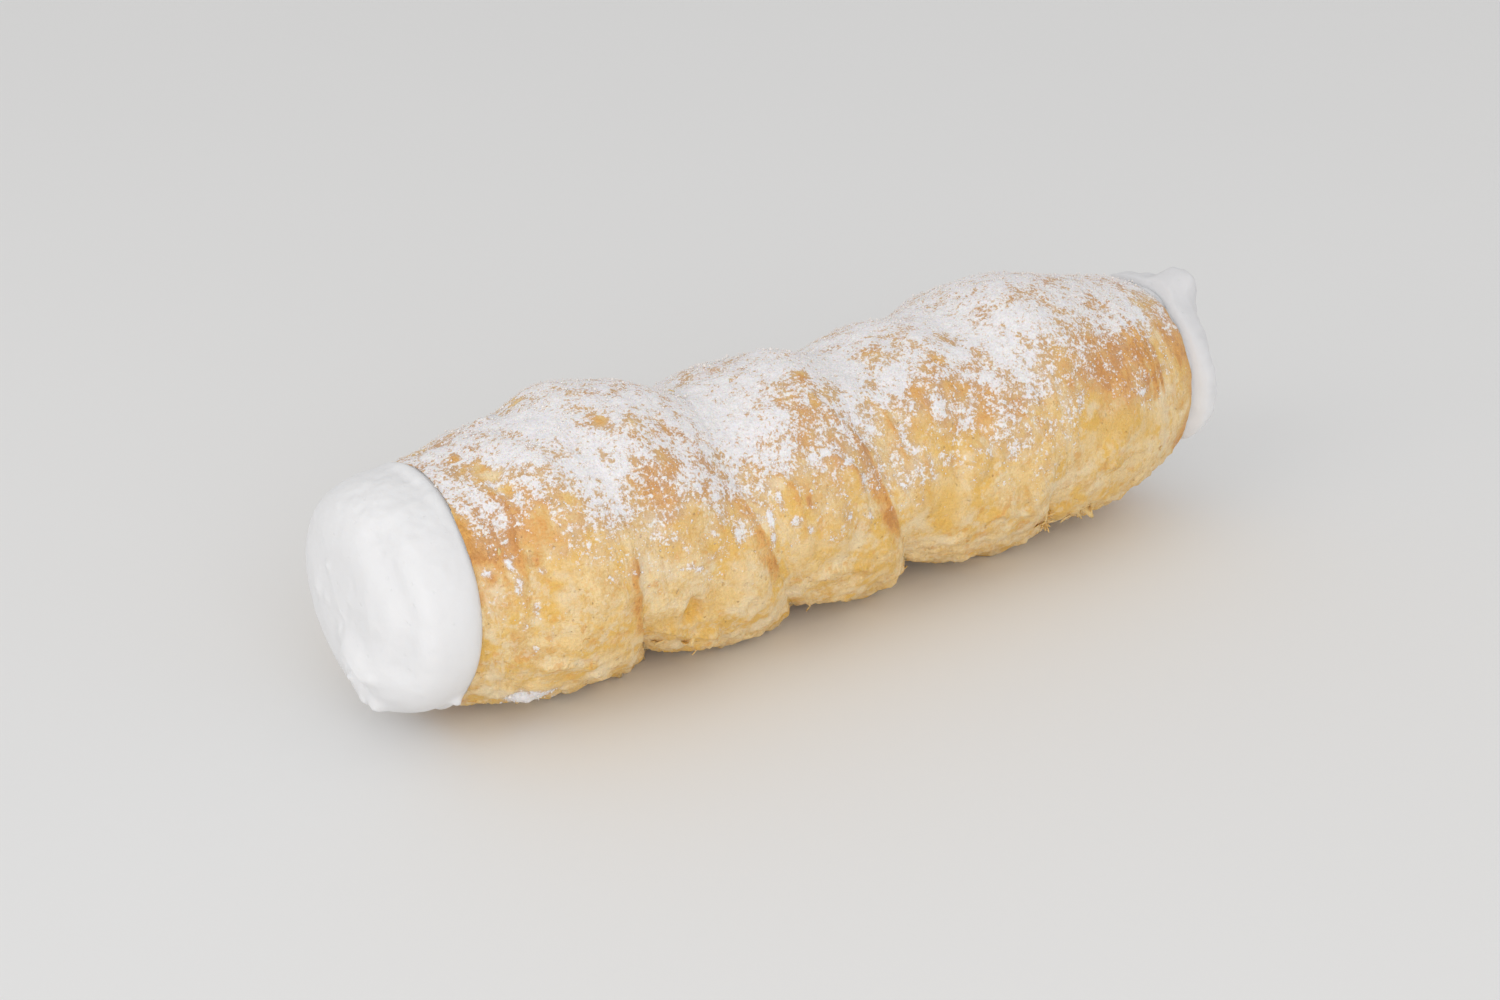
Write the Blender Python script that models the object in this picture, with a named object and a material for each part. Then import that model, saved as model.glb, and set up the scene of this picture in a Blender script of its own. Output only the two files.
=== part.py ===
"""Cream roll: a strip of puff pastry wound round a rod into a tube, baked, and filled with piped cream.

The roll lies on the floor along X. Its front mouth, with the larger mound of cream, is at -X, and its
back mouth is at +X. Angles run round the roll from its top (0 degrees) towards -Y (90 degrees).
"""

import math

import bmesh
import bpy
import numpy as np

MM = 0.001
GAP = 0.4 * MM  # clearance between the cream and the pastry

# The roll as a whole.
ROLL_LENGTH = 136.8 * MM
AXIS_HEIGHT = 21.9 * MM
FRONT_MOUTH_RADIUS = 17.5 * MM  # outer edge of the pastry at each mouth
BACK_MOUTH_RADIUS = 15.8 * MM
FRONT_SLANT = 1.6 * MM  # how far the front mouth is set back on its upper far side
FRONT_FOOT = 0.9 * MM  # how far the front mouth spreads where it lay on the tray
FRONT_FOOT_ANGLE = math.radians(172)
FRONT_FOOT_SPREAD = math.radians(34)
FRONT_DIP = 0.8 * MM  # how much lower the front mouth's upper near side lies
FRONT_DIP_ANGLE = math.radians(12)
FRONT_DIP_SPREAD = math.radians(60)
FRONT_ROUNDING = 16 * MM  # length over which the tube draws in to its front mouth
FRONT_ROUNDING_POWER = 1.7
BACK_DIP = 0.9 * MM  # how far the back mouth's near side is drawn in
BACK_DIP_ANGLE = math.radians(98)
BACK_DIP_SPREAD = math.radians(42)
BACK_ROUNDING = 22 * MM
BACK_ROUNDING_POWER = 1.9
LIP_DEPTH = 0.7 * MM  # how far the rounded lip stands past the mouth's edge
LIP_THICKNESS = 2.0 * MM
LIP_SHARE = 0.45  # share of that thickness at which the lip stands out furthest
BORE_RADIUS = 12.2 * MM
BORE_FLARE = 14 * MM  # length over which the bore opens out to a mouth
BORE_FLARE_POWER = 2
BORE_FLARE_MIDDLE = 0.4  # share of that length at which the bore has one more ring

# Radius of the crests along the roll, on its upper far side and on its lower near side.
CREST_PLACES = (-66, -51, -38, -30, -22, -6, 6, 18, 26, 34, 50, 57, 66)
UPPER_CRESTS = (18.6, 21.8, 22.9, 21.0, 19.7, 20.3, 18.7, 20.1, 20.8, 22.6, 21.1, 20.4, 21.2)
LOWER_CRESTS = (21.3, 22.0, 21.9, 22.1, 22.3, 22.2, 22.0, 21.6, 21.8, 22.1, 20.8, 20.8, 21.0)
UPPER_SIDE = math.radians(-26)

# The tray that it was baked on left the underside fuller, so it rests on a flat at each crest.
TRAY_SPREAD = 0.9 * MM
TRAY_ANGLE = math.radians(22)

# The crease where each turn of the strip tucks under the one before. One row is one turn, and its
# values are the places along X, in millimetres, at 0, 60, 120, 180, 240 and 300 degrees.
CREASE_TURNS = (
    (-72.0, -70.0, -67.5, -63.5, -58.0, -52.5),
    (-50.0, -44.8, -41.2, -31.0, -27.8, -25.5),
    (-23.4, -24.2, -15.8, -3.8, -0.8, 0.8),
    (2.4, -0.8, 7.4, 18.2, 20.5, 21.8),
    (23.8, 31.8, 36.2, 45.3, 49.5, 53.0),
    (56.3, 59.8, 62.0, 66.0, 72.0, 78.0),
)
CREASE_STEP = math.radians(60)
# Depth of that crease in millimetres, at 0, 120 and 240 degrees of the same turns.
CREASE_DEPTHS = (
    (0.2, 0.4, 0.8),
    (2.0, 2.8, 2.7),
    (3.5, 2.9, 2.5),
    (2.7, 3.4, 2.5),
    (1.5, 2.4, 1.4),
    (0.8, 1.0, 0.8),
)
# Widths on the upper far side and on the lower near side: from a crease up to the crest of the turn that
# comes out of it, and from a crest down over the strip's edge into the next crease.
RISE_WIDTHS = (9.5 * MM, 12.5 * MM)
RISE_POWER = 1.7
EDGE_WIDTHS = (8.0 * MM, 4.6 * MM)
EDGE_POWER = 1.6
CREASE_EASE = 0.68  # how much shallower the creases are half-way down the near side
CREASE_EASE_ANGLE = math.radians(78)
CREASE_EASE_SPREAD = math.radians(40)

# A shallow groove beside the front mouth, where the strip's first end lies on itself.
FIRST_FOLD_PLACE = -60.0 * MM
FIRST_FOLD_DEPTH = 0.8 * MM
FIRST_FOLD_WIDTH = 3.5 * MM
FIRST_FOLD_ANGLE = math.radians(60)
FIRST_FOLD_SPREAD = math.radians(55)

# Slow waves that keep the crust from being a perfect turning: height, waves along, waves round, shift.
CRUST_WAVES = (
    (0.28 * MM, 3.3, 2, 0.6),
    (0.22 * MM, 6.1, 3, 2.1),
    (0.16 * MM, 9.7, 5, 4.0),
)

# The cream's outline in millimetres: distance out past the mouth, and radius.
FRONT_CREAM = (
    (1.1, 16.2),
    (1.3, 17.7),
    (2.4, 18.5),
    (4.7, 18.8),
    (7.5, 18.3),
    (9.6, 16.7),
    (11.0, 13.8),
    (11.9, 9.9),
    (12.3, 5.4),
)
FRONT_CREAM_TIP = 12.5 * MM
FRONT_CREAM_DROP = 0.5 * MM  # the mound sags below the roll's axis
FRONT_CREAM_HEIGHT = 0.92  # its height over its width
BACK_CREAM = (
    (1.1, 14.6),
    (1.4, 16.0),
    (2.4, 16.6),
    (3.6, 16.4),
    (4.6, 15.0),
    (5.2, 11.5),
    (5.4, 6.5),
)
BACK_CREAM_TIP = 5.5 * MM

# The last of the piping, a ridge that runs down the front face and ends in a drip.
SWIRL_ANGLE = math.radians(146)
SWIRL_SPREAD = math.radians(24)
SWIRL_HEIGHT = 2.0 * MM
SWIRL_RADIUS = 11.0 * MM
SWIRL_LENGTH = 6.0 * MM
DRIP_ANGLE = math.radians(176)
DRIP_SPREAD = math.radians(15)
DRIP_REACH = 1.2 * MM

# The torn peak on top of the back face, and the bare stretch at its foot.
PEAK_ANGLE = math.radians(15)
PEAK_SPREAD = math.radians(10.5)
PEAK_REACH = 3.9 * MM
PEAK_LENGTH = 3.1 * MM
PEAK_LENGTH_SPREAD = math.radians(20)
LEAN_LENGTH = 1.7 * MM  # how much further out the back face stands at its top than at its foot
BELLY_ANGLE = math.radians(104)
BELLY_SPREAD = math.radians(20)
BELLY_LENGTH = 1.5 * MM  # how much further out it stands on its near side
BARE_ANGLE = math.radians(176)
BARE_SPREAD = math.radians(42)
BARE_SHARE = 0.5

# Fineness of the meshes: points round each ring, and rings along it.
CRUST_ROUND = 56
CRUST_RINGS = 59
BORE_RINGS = 5
CREAM_ROUND = 40
CREAM_CORE_RINGS = 4
SHARP_EDGE = math.radians(50)  # edges that bend more than this are shaded as corners


def clear_scene():
    for old in list(bpy.data.objects):
        bpy.data.objects.remove(old, do_unlink=True)


def curve_through(x, places, values):
    """Smooth curve through the given values, level beyond the first and the last."""
    places = np.asarray(places, float)
    values = np.asarray(values, float)
    slopes = np.gradient(values, places)
    x = np.clip(x, places[0], places[-1])
    left = np.clip(np.searchsorted(places, x) - 1, 0, len(places) - 2)
    width = places[left + 1] - places[left]
    t = (x - places[left]) / width
    start = (1 + 2 * t) * (1 - t) ** 2 * values[left] + t * (1 - t) ** 2 * width * slopes[left]
    end = t * t * (3 - 2 * t) * values[left + 1] - t * t * (1 - t) * width * slopes[left + 1]
    return start + end


def bump(angle, centre, spread):
    """1 at the centre angle, falling smoothly to 0 either side of it."""
    away = (angle - centre + math.pi) % math.tau - math.pi
    return np.exp(-((away / spread) ** 2))


def fade(distance, width, power):
    """1 at no distance, 0 beyond the width, with a sharp corner at its start."""
    return np.clip(1 - distance / width, 0, 1) ** power


def crease_line(angle, turn):
    """Place along X and depth of the crease at an angle round the given turn."""
    places = np.ravel(CREASE_TURNS)
    depths = np.ravel(CREASE_DEPTHS)
    total = angle + turn * math.tau
    place = curve_through(total, np.arange(len(places)) * CREASE_STEP, places)
    depth = curve_through(total, np.arange(len(depths)) * 2 * CREASE_STEP, depths)
    return place * MM, depth * MM


def between_sides(angle, upper, lower):
    """A value that goes over from the upper far side to the lower near side."""
    return lower + (upper - lower) * (0.5 + 0.5 * np.cos(angle - UPPER_SIDE))


def crease_depth(x, angle):
    """Depth below the crests at a place on the crust, deepest on the crease line."""
    deepest = np.zeros_like(x)
    rise_width = between_sides(angle, *RISE_WIDTHS)
    edge_width = between_sides(angle, *EDGE_WIDTHS)
    for turn in range(len(CREASE_TURNS)):
        place, depth = crease_line(angle, turn)
        rise = fade(x - place, rise_width, RISE_POWER) * (x >= place)
        edge = fade(place - x, edge_width, EDGE_POWER) * (x < place)
        deepest = np.maximum(deepest, depth * (rise + edge))
    return deepest * (1 - CREASE_EASE * bump(angle, CREASE_EASE_ANGLE, CREASE_EASE_SPREAD))


def first_fold_depth(x, angle):
    along = np.exp(-(((x - FIRST_FOLD_PLACE) / FIRST_FOLD_WIDTH) ** 2))
    return FIRST_FOLD_DEPTH * along * bump(angle, FIRST_FOLD_ANGLE, FIRST_FOLD_SPREAD)


def crest_radius(x, angle):
    upper = curve_through(x / MM, CREST_PLACES, UPPER_CRESTS) * MM
    lower = curve_through(x / MM, CREST_PLACES, LOWER_CRESTS) * MM
    return between_sides(angle, upper, lower)


def crust_waves(x, angle):
    height = np.zeros_like(x)
    for size, along, around, shift in CRUST_WAVES:
        height += size * np.sin(math.tau * along * x / ROLL_LENGTH + around * angle + shift)
    return height


def front_mouth(angle):
    """Place along X and radius of the front mouth's outer edge, which isn't quite flat or round."""
    place = between_sides(angle, FRONT_SLANT, 0) - ROLL_LENGTH / 2
    radius = FRONT_MOUTH_RADIUS + FRONT_FOOT * bump(angle, FRONT_FOOT_ANGLE, FRONT_FOOT_SPREAD)
    return place, radius - front_dip(angle)


def front_dip(angle):
    return FRONT_DIP * bump(angle, FRONT_DIP_ANGLE, FRONT_DIP_SPREAD)


def back_mouth(angle):
    """Radius of the back mouth's outer edge."""
    return BACK_MOUTH_RADIUS - BACK_DIP * bump(angle, BACK_DIP_ANGLE, BACK_DIP_SPREAD)


def crust_radius(x, angle):
    """Radius of the crust's outer surface."""
    mouth_place, mouth_radius = front_mouth(angle)
    radius = crest_radius(x, angle) + crust_waves(x, angle)
    radius += TRAY_SPREAD * bump(angle, math.pi, TRAY_ANGLE)
    radius -= crease_depth(x, angle) + first_fold_depth(x, angle)
    front = fade(x - mouth_place, FRONT_ROUNDING, FRONT_ROUNDING_POWER)
    back = fade(ROLL_LENGTH / 2 - x, BACK_ROUNDING, BACK_ROUNDING_POWER)
    radius += (mouth_radius - radius) * front
    radius += (back_mouth(angle) - radius) * back
    return radius


def bore_radius(x):
    """Radius of the bore, which opens out to a thin lip at either mouth."""
    half = ROLL_LENGTH / 2
    front = FRONT_MOUTH_RADIUS - LIP_THICKNESS - BORE_RADIUS
    back = BACK_MOUTH_RADIUS - LIP_THICKNESS - BORE_RADIUS
    front *= fade(x + half, BORE_FLARE, BORE_FLARE_POWER)
    back *= fade(half - x, BORE_FLARE, BORE_FLARE_POWER)
    return BORE_RADIUS + front + back


def ring_points(x, radius, angle, drop=0.0):
    """Points of one ring round the roll's axis. None of them goes below the floor."""
    y = -radius * np.sin(angle)
    z = np.maximum(AXIS_HEIGHT - drop + radius * np.cos(angle), 0)
    return np.stack(np.broadcast_arrays(x, y, z), axis=-1)


def angles_round(count):
    return np.arange(count) * math.tau / count


def crust_rings():
    """Rings of the outer surface from front to back, each pulled onto a crease that runs close by."""
    angle = angles_round(CRUST_ROUND)
    start, _ = front_mouth(angle)
    step = (ROLL_LENGTH / 2 - start) / (CRUST_RINGS - 1)
    rings = []
    for number in range(CRUST_RINGS):
        x = start + number * step
        if 0 < number < CRUST_RINGS - 1:
            for turn in range(len(CREASE_TURNS)):
                place, _ = crease_line(angle, turn)
                x = np.where(np.abs(x - place) < step / 2, place, x)
        rings.append(ring_points(x, crust_radius(x, angle), angle))
    return rings


def lip_rings():
    """The rounded lip of the back mouth and that of the front mouth, one ring each."""
    angle = angles_round(CRUST_ROUND)
    back_thickness = back_mouth(angle) - BACK_MOUTH_RADIUS + LIP_THICKNESS
    back = ring_points(ROLL_LENGTH / 2 + LIP_DEPTH, back_mouth(angle) - LIP_SHARE * back_thickness, angle)
    place, radius = front_mouth(angle)
    front_thickness = LIP_THICKNESS - front_dip(angle)
    return back, ring_points(place - LIP_DEPTH, radius - LIP_SHARE * front_thickness, angle)


def bore_places(middle_rings):
    """Places along the bore from front to back, closer together where it opens out."""
    inner = ROLL_LENGTH / 2 - BORE_FLARE
    outer = ROLL_LENGTH / 2 - BORE_FLARE_MIDDLE * BORE_FLARE
    return [-outer, *np.linspace(-inner, inner, middle_rings), outer]


def bore_rings():
    """Rings of the bore from back to front, its ends following the mouths."""
    angle = angles_round(CRUST_ROUND)
    start, _ = front_mouth(angle)
    places = [start, *bore_places(BORE_RINGS), ROLL_LENGTH / 2]
    return [ring_points(x, bore_radius(x), angle) for x in places[::-1]]


def front_cream_rings():
    """Rings of the mound at the front mouth, from the mouth out to the middle of its face."""
    angle = angles_round(CREAM_ROUND)
    rings = []
    for out, radius in FRONT_CREAM:
        share = min(out * MM / FRONT_CREAM_TIP, 1)
        size = radius * MM * np.sqrt(np.sin(angle) ** 2 + (FRONT_CREAM_HEIGHT * np.cos(angle)) ** 2)
        face = share ** 2 * np.exp(-(((radius * MM - SWIRL_RADIUS) / SWIRL_LENGTH) ** 2))
        ridge = SWIRL_HEIGHT * face * bump(angle, SWIRL_ANGLE, SWIRL_SPREAD)
        size = size + DRIP_REACH * share * bump(angle, DRIP_ANGLE, DRIP_SPREAD)
        size = size - front_dip(angle) * (radius * MM / FRONT_MOUTH_RADIUS) ** 2
        x = front_mouth(angle)[0] * (1 - share) - ROLL_LENGTH / 2 * share - out * MM - ridge
        rings.append(ring_points(x, size, angle, FRONT_CREAM_DROP * share))
    return rings


def back_cream_rings():
    """Rings of the flatter mound at the back mouth, with its torn peak."""
    angle = angles_round(CREAM_ROUND)
    rings = []
    for out, radius in BACK_CREAM:
        rim = min(radius * MM / BACK_MOUTH_RADIUS, 1) ** 2
        share = min(out * MM / BACK_CREAM_TIP, 1)
        away = (angle - PEAK_ANGLE + math.pi) % math.tau - math.pi
        peak = np.exp(-((away / PEAK_SPREAD) ** 4)) * rim * share
        lean = between_sides(angle, LEAN_LENGTH, 0) + BELLY_LENGTH * bump(angle, BELLY_ANGLE, BELLY_SPREAD)
        lean = (lean + PEAK_LENGTH * bump(angle, PEAK_ANGLE, PEAK_LENGTH_SPREAD)) * rim * share
        bare = BARE_SHARE * bump(angle, BARE_ANGLE, BARE_SPREAD)
        size = radius * MM * (1 - bare) + PEAK_REACH * peak
        x = ROLL_LENGTH / 2 + out * MM + lean
        rings.append(ring_points(x, size, angle))
    return rings


def cream_core_rings():
    """Rings of the filling inside the bore, from front to back."""
    angle = angles_round(CREAM_ROUND)
    start, _ = front_mouth(angle)
    places = [start, *bore_places(CREAM_CORE_RINGS), ROLL_LENGTH / 2]
    return [ring_points(x, bore_radius(x) - GAP, angle) for x in places]


def join_rings(mesh, rings):
    """Triangles between each ring and the next, split along the way that the creases wind."""
    count = len(rings[0])
    for first, second in zip(rings, rings[1:]):
        for here in range(count):
            after = (here + 1) % count
            mesh.faces.new((first[here], second[after], second[here]))
            mesh.faces.new((first[here], first[after], second[after]))


def close_ring(mesh, ring, tip):
    """A fan of triangles from a ring to one point."""
    for here in range(len(ring)):
        mesh.faces.new((ring[here], ring[(here + 1) % len(ring)], tip))


def finished_object(name, mesh, material):
    bmesh.ops.recalc_face_normals(mesh, faces=mesh.faces)
    data = bpy.data.meshes.new(name)
    mesh.to_mesh(data)
    mesh.free()
    data.shade_smooth()
    data.set_sharp_from_angle(angle=SHARP_EDGE)
    data.materials.append(material)
    piece = bpy.data.objects.new(name, data)
    bpy.context.scene.collection.objects.link(piece)
    return piece


def plain_material(name, colour, roughness):
    material = bpy.data.materials.new(name)
    material.use_nodes = True
    shader = material.node_tree.nodes["Principled BSDF"]
    shader.inputs["Base Color"].default_value = (*colour, 1)
    shader.inputs["Roughness"].default_value = roughness
    shader.inputs["Metallic"].default_value = 0
    return material


def add_pastry():
    """The wound tube: its crust, both lips and its bore are one closed skin."""
    mesh = bmesh.new()
    back_lip, front_lip = lip_rings()
    outline = [*crust_rings(), back_lip, *bore_rings(), front_lip]
    rings = [[mesh.verts.new(point) for point in ring] for ring in outline]
    join_rings(mesh, rings + rings[:1])
    return finished_object("pastry", mesh, plain_material("golden_crust", (0.72, 0.44, 0.17), 0.55))


def add_cream():
    """The filling: it fills the bore and stands out of both mouths as one piece."""
    mesh = bmesh.new()
    outline = front_cream_rings()[::-1] + cream_core_rings() + back_cream_rings()
    rings = [[mesh.verts.new(point) for point in ring] for ring in outline]
    join_rings(mesh, rings)
    front = (-ROLL_LENGTH / 2 - FRONT_CREAM_TIP, 0, AXIS_HEIGHT - FRONT_CREAM_DROP)
    back = (ROLL_LENGTH / 2 + BACK_CREAM_TIP, 0, AXIS_HEIGHT)
    close_ring(mesh, rings[0], mesh.verts.new(front))
    close_ring(mesh, rings[-1], mesh.verts.new(back))
    return finished_object("cream", mesh, plain_material("whipped_cream", (0.90, 0.90, 0.89), 0.6))


def centre_on_origin(pieces):
    """Moves the pieces together so that the middle of their box stands over the origin."""
    corners = np.array([vertex.co for piece in pieces for vertex in piece.data.vertices])
    middle = (corners.min(axis=0) + corners.max(axis=0)) / 2
    for piece in pieces:
        for vertex in piece.data.vertices:
            vertex.co.x -= middle[0]
            vertex.co.y -= middle[1]


def main():
    clear_scene()
    centre_on_origin([add_pastry(), add_cream()])


main()
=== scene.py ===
"""Cream roll: the finish of a puff pastry tube filled with whipped cream and dusted with powdered sugar.

The pieces are made in the roll's own frame, in millimetres: X runs along the roll from its front mouth to
its back mouth with zero at mid-length, and angles run round it from its top (0 degrees) towards -Y.
"""

import math

import bpy
import numpy as np
from mathutils import Matrix, Vector


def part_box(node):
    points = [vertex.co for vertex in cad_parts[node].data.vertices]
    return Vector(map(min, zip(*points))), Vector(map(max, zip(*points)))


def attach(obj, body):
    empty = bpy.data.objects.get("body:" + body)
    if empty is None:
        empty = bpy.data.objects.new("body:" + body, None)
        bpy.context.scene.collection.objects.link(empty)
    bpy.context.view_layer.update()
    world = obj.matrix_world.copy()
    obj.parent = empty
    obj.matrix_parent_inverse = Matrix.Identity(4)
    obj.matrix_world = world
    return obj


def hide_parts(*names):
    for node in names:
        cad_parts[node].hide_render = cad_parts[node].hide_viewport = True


bl_info = {
    "name": "Cream Roll",
    "version": (1, 0, 0),
    "blender": (4, 5, 0),
    "location": "3D View > Sidebar > Cream Roll",
    "description": "Builds a wound puff pastry roll with whipped cream and powdered sugar",
    "category": "Add Mesh",
}

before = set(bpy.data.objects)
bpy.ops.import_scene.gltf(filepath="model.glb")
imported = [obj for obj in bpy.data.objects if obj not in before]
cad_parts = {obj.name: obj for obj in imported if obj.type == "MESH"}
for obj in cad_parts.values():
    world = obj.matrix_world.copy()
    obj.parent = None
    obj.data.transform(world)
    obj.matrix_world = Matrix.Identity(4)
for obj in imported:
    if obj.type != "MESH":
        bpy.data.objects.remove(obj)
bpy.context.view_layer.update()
PASTRY_LOW, PASTRY_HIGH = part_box("pastry")
CREAM_LOW, CREAM_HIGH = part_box("cream")
BODY = "root"

MM = 0.001
TURN = math.tau

# ---- The form of the roll, in millimetres and degrees, as its solids have it ----

LIP_DEPTH = 0.7
LIP_THICKNESS = 2.0
LIP_UNEVENNESS = 0.25
LIP_MARGIN = 0.1
ROLL_LENGTH = (PASTRY_HIGH.x - PASTRY_LOW.x) / MM - 2 * LIP_DEPTH
HALF_LENGTH = ROLL_LENGTH / 2
MIDDLE_X = (PASTRY_HIGH.x + PASTRY_LOW.x) / 2 / MM
AXIS_Y = (CREAM_HIGH.y + CREAM_LOW.y) / 2 / MM
AXIS_HEIGHT = 21.9
MEAN_RADIUS = 21.0

FRONT_MOUTH_RADIUS = 17.5
BACK_MOUTH_RADIUS = 15.8
FRONT_SLANT = 1.6
FRONT_FOOT = (0.9, 172, 34)  # a swelling: height, angle and spread
FRONT_DIP = (0.8, 12, 60)
FRONT_ROUNDING = (16.0, 1.7)  # length and power
BACK_DIP = (0.9, 98, 42)
BACK_ROUNDING = (22.0, 1.9)
BORE_RADIUS = 12.2
BORE_FLARE = 14.0
BORE_GAP = 0.4
TIP_STEP = 0.02  # how far a mound's tip stands past its last ring

CREST_PLACES = (-66, -51, -38, -30, -22, -6, 6, 18, 26, 34, 50, 57, 66)
UPPER_CRESTS = (18.6, 21.8, 22.9, 21.0, 19.7, 20.3, 18.7, 20.1, 20.8, 22.6, 21.1, 20.4, 21.2)
LOWER_CRESTS = (21.3, 22.0, 21.9, 22.1, 22.3, 22.2, 22.0, 21.6, 21.8, 22.1, 20.8, 20.8, 21.0)
UPPER_SIDE = -26
TRAY_SPREAD = (0.9, 180, 22)

CREASE_TURNS = (
    (-72, -70, -67.5, -63.5, -58, -52.5),
    (-50, -44.8, -41.2, -31, -27.8, -25.5),
    (-23.4, -24.2, -15.8, -3.8, -0.8, 0.8),
    (2.4, -0.8, 7.4, 18.2, 20.5, 21.8),
    (23.8, 31.8, 36.2, 45.3, 49.5, 53),
    (56.3, 59.8, 62, 66, 72, 78),
)
CREASE_DEPTHS = (
    (0.2, 0.4, 0.8),
    (2.0, 2.8, 2.7),
    (3.5, 2.9, 2.5),
    (2.7, 3.4, 2.5),
    (1.5, 2.4, 1.4),
    (0.8, 1.0, 0.8),
)
RISE_WIDTHS = (9.5, 12.5)  # on the upper far side and on the lower near side
RISE_POWER = 1.7
EDGE_WIDTHS = (8.0, 4.6)
EDGE_POWER = 1.6
FLANK = (78, 40)  # angle and spread of the stretch half-way down the near side
CREASE_EASE = 0.68  # how much shallower the creases are there
FIRST_FOLD = (-60.0, 0.8, 3.5, 60, 55)  # place, depth, width, angle, spread
CRUST_WAVES = ((0.28, 3.3, 2, 0.6), (0.22, 6.1, 3, 2.1), (0.16, 9.7, 5, 4.0))

# ---- Number helpers ----


def smoothstep(low, high, value):
    """0 below low, 1 above high, and a smooth step between them."""
    t = np.clip((value - low) / (high - low), 0, 1)
    return t * t * (3 - 2 * t)


def curve_through(x, places, values):
    """Smooth curve through the given values, level beyond the first and the last."""
    places = np.asarray(places, float)
    values = np.asarray(values, float)
    slopes = np.gradient(values, places)
    x = np.clip(x, places[0], places[-1])
    left = np.clip(np.searchsorted(places, x) - 1, 0, len(places) - 2)
    width = places[left + 1] - places[left]
    t = (x - places[left]) / width
    start = (1 + 2 * t) * (1 - t) ** 2 * values[left] + t * (1 - t) ** 2 * width * slopes[left]
    end = t * t * (3 - 2 * t) * values[left + 1] - t * t * (1 - t) * width * slopes[left + 1]
    return start + end


def angle_from(angle, centre):
    """Signed angle from the centre to the given angle, the short way round."""
    return (angle - centre + math.pi) % TURN - math.pi


def bump(angle, centre, spread, power=2):
    """1 at the centre angle, falling smoothly to 0 either side of it. Centre and spread are in degrees."""
    return np.exp(-((angle_from(angle, math.radians(centre)) / math.radians(spread)) ** power))


def swelling(angle, form):
    """A soft swelling round the roll: height, and angle and spread in degrees."""
    return form[0] * bump(angle, *form[1:])


def hill(distance, width):
    """1 at no distance, falling smoothly to 0 over about twice the width."""
    return np.exp(-((distance / width) ** 2))


def fade(distance, width, power):
    """1 at no distance, 0 beyond the width, with a sharp corner at its start."""
    return np.clip(1 - distance / width, 0, 1) ** power


LATTICE = 32  # cells of random values along each side, before they repeat
LATTICE_SHIFT = LATTICE / 2 + 0.37  # keeps the roll's own planes off the cells' corners
NOISE_GAIN = 1.5
FAR = 99.0  # further than any crease


def lattice_corners(points, size):
    """The cell that each point is in, and its place inside it from 0 to 1."""
    scaled = points / size + LATTICE_SHIFT
    cell = np.floor(scaled).astype(int)
    return cell, scaled - cell


def noise(points, size, seed):
    """Smooth noise from -1 to 1, with lumps of about the given size. Each use of it has its own seed."""
    values = np.random.default_rng(seed).uniform(-1, 1, (LATTICE,) * 3)
    cell, inside = lattice_corners(points, size)
    inside = inside ** 3 * (inside * (inside * 6 - 15) + 10)
    total = np.zeros(points.shape[:-1])
    for corner in np.ndindex(2, 2, 2):
        share = np.prod(np.where(corner, inside, 1 - inside), axis=-1)
        at = (cell + corner) % LATTICE
        total += share * values[at[..., 0], at[..., 1], at[..., 2]]
    return np.clip(total * NOISE_GAIN, -1, 1)


def layered_noise(points, size, seed, layers=3, keep=0.55):
    """Noise with finer and weaker layers on top of it."""
    total = np.zeros(points.shape[:-1])
    strength = 1.0
    for layer in range(layers):
        total += strength * noise(points, size / 2 ** layer, seed + layer)
        strength *= keep
    return total


def plates(points, size, seed):
    """Random value of the uneven cell that each point is in, and the distance to the cell's edge."""
    rng = np.random.default_rng(seed)
    jitter = rng.uniform(0, 1, (LATTICE, LATTICE, LATTICE, 3))
    values = rng.uniform(-1, 1, (LATTICE,) * 3)
    cell, inside = lattice_corners(points, size)
    nearest = np.full(points.shape[:-1], np.inf)
    second = nearest.copy()
    value = np.zeros_like(nearest)
    for step in np.ndindex(3, 3, 3):
        offset = np.array(step) - 1
        at = (cell + offset) % LATTICE
        seeds = offset + jitter[at[..., 0], at[..., 1], at[..., 2]]
        away = np.linalg.norm(seeds - inside, axis=-1)
        closer = away < nearest
        second = np.where(closer, nearest, np.minimum(second, away))
        value = np.where(closer, values[at[..., 0], at[..., 1], at[..., 2]], value)
        nearest = np.where(closer, away, nearest)
    return value, (second - nearest) * size


# ---- The crust's main form ----


def crease_line(angle, turn):
    """Place along X and depth of the crease at an angle round the given turn."""
    places = np.ravel(CREASE_TURNS)
    depths = np.ravel(CREASE_DEPTHS)
    total = angle + turn * TURN
    place = curve_through(total, np.arange(len(places)) * TURN / 6, places)
    depth = curve_through(total, np.arange(len(depths)) * TURN / 3, depths)
    return place, depth


def from_creases(x, angle):
    """How far a place is past each turn's crease, and that crease's depth: a layer for each turn."""
    places, depths = zip(*(crease_line(angle, turn) for turn in range(len(CREASE_TURNS))))
    return x - np.array(places), np.array(depths)


def between_sides(angle, upper, lower):
    """A value that goes over from the upper far side to the lower near side."""
    return lower + (upper - lower) * (0.5 + 0.5 * np.cos(angle - math.radians(UPPER_SIDE)))


def ease(angle):
    """Share of its full depth that a crease has at an angle."""
    return 1 - CREASE_EASE * bump(angle, *FLANK)


def crease_depth(x, angle):
    """Depth below the crests at a place on the crust, deepest on the crease line."""
    past, depths = from_creases(x, angle)
    rise = fade(past, between_sides(angle, *RISE_WIDTHS), RISE_POWER) * (past >= 0)
    edge = fade(-past, between_sides(angle, *EDGE_WIDTHS), EDGE_POWER) * (past < 0)
    return np.maximum((depths * (rise + edge)).max(axis=0), 0) * ease(angle)


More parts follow.
